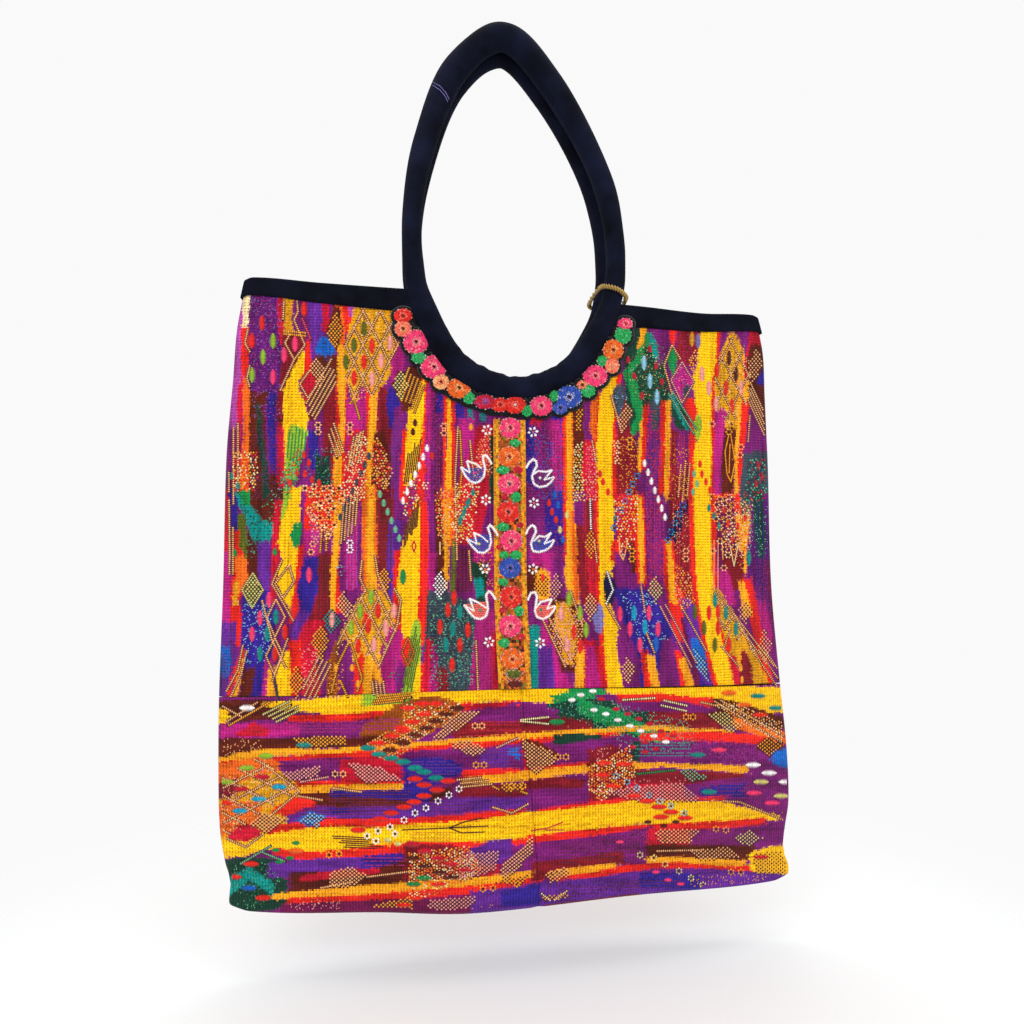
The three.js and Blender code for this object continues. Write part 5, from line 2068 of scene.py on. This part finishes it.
# %% [markdown]
# ## Flowers of the collar
# Flowers and leaves follow one another round the neck, packed so close that little cloth shows, and those on
# the left are half under the roll. Each lies on a dark disc a little larger, and the dark rims together are
# the scalloped edge of the collar.

# %% Flowers of the collar
COLLAR_FLOWERS = """
red coral maroon 403 316 10 8; coral peach brown 403 329 9.5 9; pink rose umber 416 342 14 13.5
pink rose umber 434 367 14.5 13; peach coral brown 441 382 9 8.5; orange peach umber 459 388 13 11.5
crimson orchid lilac 485 402 12 8; red coral maroon 500 405 10 8; red coral pearl 515 405 12 9.5
pink rose umber 541 406 12.5 11; sea lilac navy 560 408 8 7; sea pearl soot 569 397 14 12.5
coral peach brown 582 385 6 5; pink rose brown 595 376 13.5 12; coral peach rose 612 366 8 8.5
orange peach brown 613 350 11.5 11.5; pink rose crimson 625 324 8.5 6.5
"""
COLLAR_LEAVES = """
leaf mint 419 358 8.5 6.5; leaf mint 469 398 6.5 7; leaf green 527 411 6 6.5; leaf green 554 396 5 6.5
leaf mint 588 391 8 7.5; leaf mint 602 361 6 6; leaf mint 623 335 9.5 10
"""
DARK_RIM = 2.6  # pixels of dark edge round a flower or leaf


def read_flowers(text):
    """Lines of dyes and a place and half sizes, as a list for each flower or leaf."""
    flowers = []
    for line in text.replace("\n", ";").split(";"):
        words = line.split()
        if words:
            flowers.append(([float(word) for word in words[-4:]], words[:-4]))
    return flowers


def sew_flowers(name, flowers, leaves, more, rim):
    """Pads and stitches of flowers and leaves, with a dark edge where rim isn't nothing."""
    flowers, leaves = read_flowers(flowers), read_flowers(leaves)
    pads, sewn = [], more
    if rim:
        pads += [(u, v, wide + rim, high + rim, 0.5, "soot") for (u, v, wide, high), dyes in leaves + flowers]
    for place, dyes in leaves:
        pads.append((*place, LEAF_RISE, dyes[0]))
        sewn += satin_leaf(*place, *dyes)
    for place, dyes in flowers:
        pads.append((*place, FLOWER_RISE, dyes[0]))
        sewn += satin_flower(*place, *dyes)
    pad_mesh(name + "_pads", pads, patch_depth, "embroidery")
    sew_satin(name + "_stitches", sewn, patch_depth, "embroidery")


sew_flowers("collar_flower", COLLAR_FLOWERS, COLLAR_LEAVES, [], DARK_RIM)

# %% [markdown]
# ## Flowers of the strip
# Down the strip a flower and a leaf take turns between two rows of gold. At its foot the stalks end in a
# small dark basket.

# %% Flowers of the strip
STRIP_FLOWERS = """
pink rose maroon 510 428 11.5 11; orange peach maroon 509 457 12 11.5; pink rose slate 509 484 12 11
red coral navy 508 512 12 11.5; pink rose brown 511 541 12 11.5; sea lilac navy 510 568 11.5 11
red coral brown 511 597 12 12; pink rose brown 510 626 12 12; orange peach maroon 512 659 12 11.5
"""
STRIP_LEAVES = """
leaf mint 515 443 6 4; leaf mint 503 470 7 4.5; leaf mint 516 497 5.5 5.5; leaf mint 503 527 6.5 4.5
leaf mint 504 555 5 4; leaf mint 516 555 6 5; leaf mint 503 582 5.5 4; leaf mint 519 611 5 5.5
leaf mint 504 643 6 5; crimson coral 518 470 5 4; crimson coral 505 497 4 3; crimson coral 520 525 4 3
crimson coral 500 547 4 3; crimson coral 503 610 4 3.5; crimson coral 521 637 4 4
olive sand 514 674 8 4.5; brown maroon 515 684 8 3.5
"""
STRIP_BORDERS = """
495 418, 495 600, 498 650, 504 687
499 418, 498 600, 501 650, 508 687
521 420, 522 600, 526 640, 527 686
524 420, 526 600, 529 640, 530 686
"""
STALKS = "503 672, 513 683; 525 671, 513 683; 507 680, 514 687; 521 679, 514 687; 515 668, 515 678"
BORDER_STITCH = (2.8, 2.2, 0.6)
BORDER_STEP = 2.1
BORDER_DYES = ("gold", "gold", "amber", "orange", "rust")

strip_satin = []
for border in read_lines(STRIP_BORDERS):
    for u, v in line_places(read_points(border), BORDER_STEP):
        tint = rng.choice(BORDER_DYES)
        strip_satin.append(satin(u, v, BORDER_STITCH, rng.normal(0, 0.4), tint))
for stalk in STALKS.split(";"):
    strip_satin += chain(read_points(stalk), "rose", 1.3)
sew_flowers("strip_flower", STRIP_FLOWERS, STRIP_LEAVES, strip_satin, 0)

# %% [markdown]
# ## Swans and daisies
# Three pairs of swans face the strip. Each is a white chain-stitch outline with a raised wing, a body filled
# in colour and a dot. A daisy stands above each swan and two more below the last pair.

# %% Swans and daisies
SWANS = """
sea pink 474 473; 461 467, 465 475, 470 481, 475 483, 480 481, 484 476, 485 468, 483 460, 483 456, 486
  455, 489 459, 492 465; 461 467, 470 473, 467 461, 476 464, 482 469
sea sand 479 544; 467 539, 472 546, 478 552, 484 553, 489 549, 491 542, 490 534, 488 528, 490 525, 494
  529, 498 536; 467 539, 477 544, 474 533, 481 536, 488 542
coral teal 480 610; 464 605, 470 613, 475 618, 481 619, 486 616, 488 609, 487 601, 486 595, 489 591, 493
  595, 496 600; 464 605, 474 611, 470 599, 479 603, 486 608
purple white 540 478; 554 477, 551 482, 546 486, 539 487, 534 484, 532 477, 534 471, 537 466, 536 461,
  533 459, 529 463, 526 468; 554 477, 544 480, 552 470, 546 472, 538 471, 533 475
sea sand 539 541; 554 540, 551 546, 546 550, 539 552, 533 551, 531 544, 533 538, 536 532, 535 527, 532
  525, 528 529, 526 534; 554 540, 544 544, 551 533, 545 537, 539 536, 534 541
coral teal 541 610; 555 606, 554 610, 549 616, 543 619, 537 617, 535 611, 536 604, 537 597, 535 592, 531
  593, 529 597, 528 600; 555 606, 547 609, 552 599, 541 602, 536 608
"""
BELLY = (4, 2.4, 0.7)  # the stitches of a swan's body
BELLY_STEPS = (2.6, 1.9)
BELLY_POINTS = 7  # the outline's first points go round the body
SWAN_DOT = (4.4, 4.4, 1.3)
DAISIES = table("u v", [
    (487, 430), (533, 432), (486, 500), (534, 503), (485, 569), (533, 569), (489, 642), (540, 643),
])


def swan(line):
    """A swan from its line of the chart: body and dot, outline, wing."""
    body, outline, wing = line.split(";")
    fill, dot, u, v = body.split()
    outline = read_points(outline)
    sewn = []
    for column, row in field(outline[:BELLY_POINTS], *BELLY_STEPS):
        sewn.append(satin(column, row, BELLY, 0, fill))
    sewn += chain(outline, "white") + chain(read_points(wing), "white", 3.2)
    return sewn + [satin(float(u), float(v), SWAN_DOT, 0, dot)]


def over_the_strip(x, z):
    """The cloth's front, rising to the strip's where a swan's bill lies on it."""
    inside = PLACKET_WIDTH / 2 - np.abs(x - value_at(PLACKET_LINE, "z", "x", z))
    return wall_depth(x, z) + (PATCH_GAP + PATCH) * smoothstep(inside, -3, 0)


cloth_satin = []
for line in read_lines(SWANS):
    cloth_satin += swan(line)
for row in DAISIES:
    cloth_satin += daisy(*row)
sew_satin("swans_and_daisies", cloth_satin, over_the_strip, "embroidery")

# %% [markdown]
# ## Stitches on the handle
# Two pale rows of stitches close the front handle's tube high on the left. They bend with the padding, so the
# handle's own depth is worked out from its line.

# %% Stitches on the handle
CLOSING = "432.5 82, 440 86, 446 93, 449 99; 432.5 85, 440 90, 445 96, 448 102"


def handle_front(x, z):
    """How far the front of the front handle stands from the seam plane."""
    middle, outward, width = handle_line(np.linspace(0, len(HANDLE), 500))
    gap = np.hypot(x[:, None] - middle[:, 0], z[:, None] - middle[:, 1])
    near = gap.argmin(axis=1)
    share = np.minimum(2 * gap.min(axis=1) / width[near], 1)
    return handle_stand_off(x, z) + HANDLE_DEPTH / 2 * np.sqrt(1 - share**2)


closing = [stitch for row in CLOSING.split(";") for stitch in chain(read_points(row), "lilac", 0.9, 0.3)]
sew_satin("handle_stitches", closing, handle_front, "navy_cotton")

# %% [markdown]
# ## Cloth of the collar and the strip
# Little of it shows between the flowers, so a few colours by place are enough: dark cloth under the collar,
# and amber sides and a mixed, rusty middle on the strip.

# %% Cloth of the collar and the strip
GOLD_SIDE = 9.0
GROUND_DYES = ("rust", "rust", "rust", "brown", "olive", "orange")


def mottled(colours, amount):
    return np.clip(colours * rng.normal(1, amount, (len(colours), 1)), 0, 1)


cloth = np.tile(dye("soot"), (len(collar.data.polygons), 1))
paint(collar.data, mottled(cloth, 0.15))
centres = face_centres(placket.data)
middle = value_at(PLACKET_LINE, "z", "x", centres[:, 2])
sides = np.abs(centres[:, 0] - middle) > GOLD_SIDE
ground = np.array([dye(rng.choice(GROUND_DYES)) for _ in sides])
print("faces of the strip:", len(sides), "with", sides.sum(), "at its sides")
paint(placket.data, mottled(np.where(sides[:, None], dye("amber"), ground), 0.3))

# %% [markdown]

# %% [markdown]
# ## Floor and light
# The photograph is a studio shot on white with a faint shadow far under the bag. A pale disc that fades
# outwards takes the shadow, the world is near white, and three large soft lights model the folds.

# %% Floor
FLOOR = -738

deselected()
bpy.ops.mesh.primitive_circle_add(vertices=96, radius=0.7, fill_type="NGON", location=(0, 0, FLOOR * MM))
floor = bpy.context.object
floor.name = "studio floor"
bpy.ops.object.transform_apply(location=True)
pale, pale_tree, pale_shader = fresh_material("pale floor", 0.9, 0, 0)
pale_shader.inputs["Base Color"].default_value = (0.8, 0.81, 0.81, 1)
flat = node(pale_tree, "VectorMath", {0: object_place(pale_tree), 1: (1, 1, 0)}, operation="MULTIPLY")
far = node(pale_tree, "VectorMath", {0: flat.outputs[0]}, operation="LENGTH").outputs["Value"]
fading = {"Value": far, "From Min": 0.15, "From Max": 0.65, "To Min": 1, "To Max": 0}
fade = node(pale_tree, "MapRange", fading, interpolation_type="SMOOTHSTEP")
pale_tree.links.new(fade.outputs["Result"], pale_shader.inputs["Alpha"])
floor.data.materials.append(pale)

# %% Lights and world
LIGHTS = table("x y z size power aim_z", [
    (-700, -1300, 250, 900, 7, -350),
    (900, -1100, 100, 900, 3, -400),
    (0, 60, 1000, 900, 9, -300),
])
for row in LIGHTS:
    bpy.ops.object.light_add(type="AREA", location=(row["x"] * MM, row["y"] * MM, row["z"] * MM))
    lamp = bpy.context.object
    lamp.data.size = row["size"] * MM
    lamp.data.energy = row["power"]
    aim = np.array((0, 0, row["aim_z"])) - np.array((row["x"], row["y"], row["z"]))
    flat = np.hypot(aim[0], aim[1])
    lamp.rotation_euler = (np.arctan2(flat, -aim[2]), 0, np.arctan2(-aim[0], aim[1]))

scene = bpy.context.scene
scene.world = bpy.data.worlds.new("studio white")
scene.world.use_nodes = True
background = scene.world.node_tree.nodes["Background"]
background.inputs["Color"].default_value = (1, 1, 1, 1)
background.inputs["Strength"].default_value = 0.95
scene.view_settings.view_transform = "Standard"
print("lights:", len(LIGHTS))
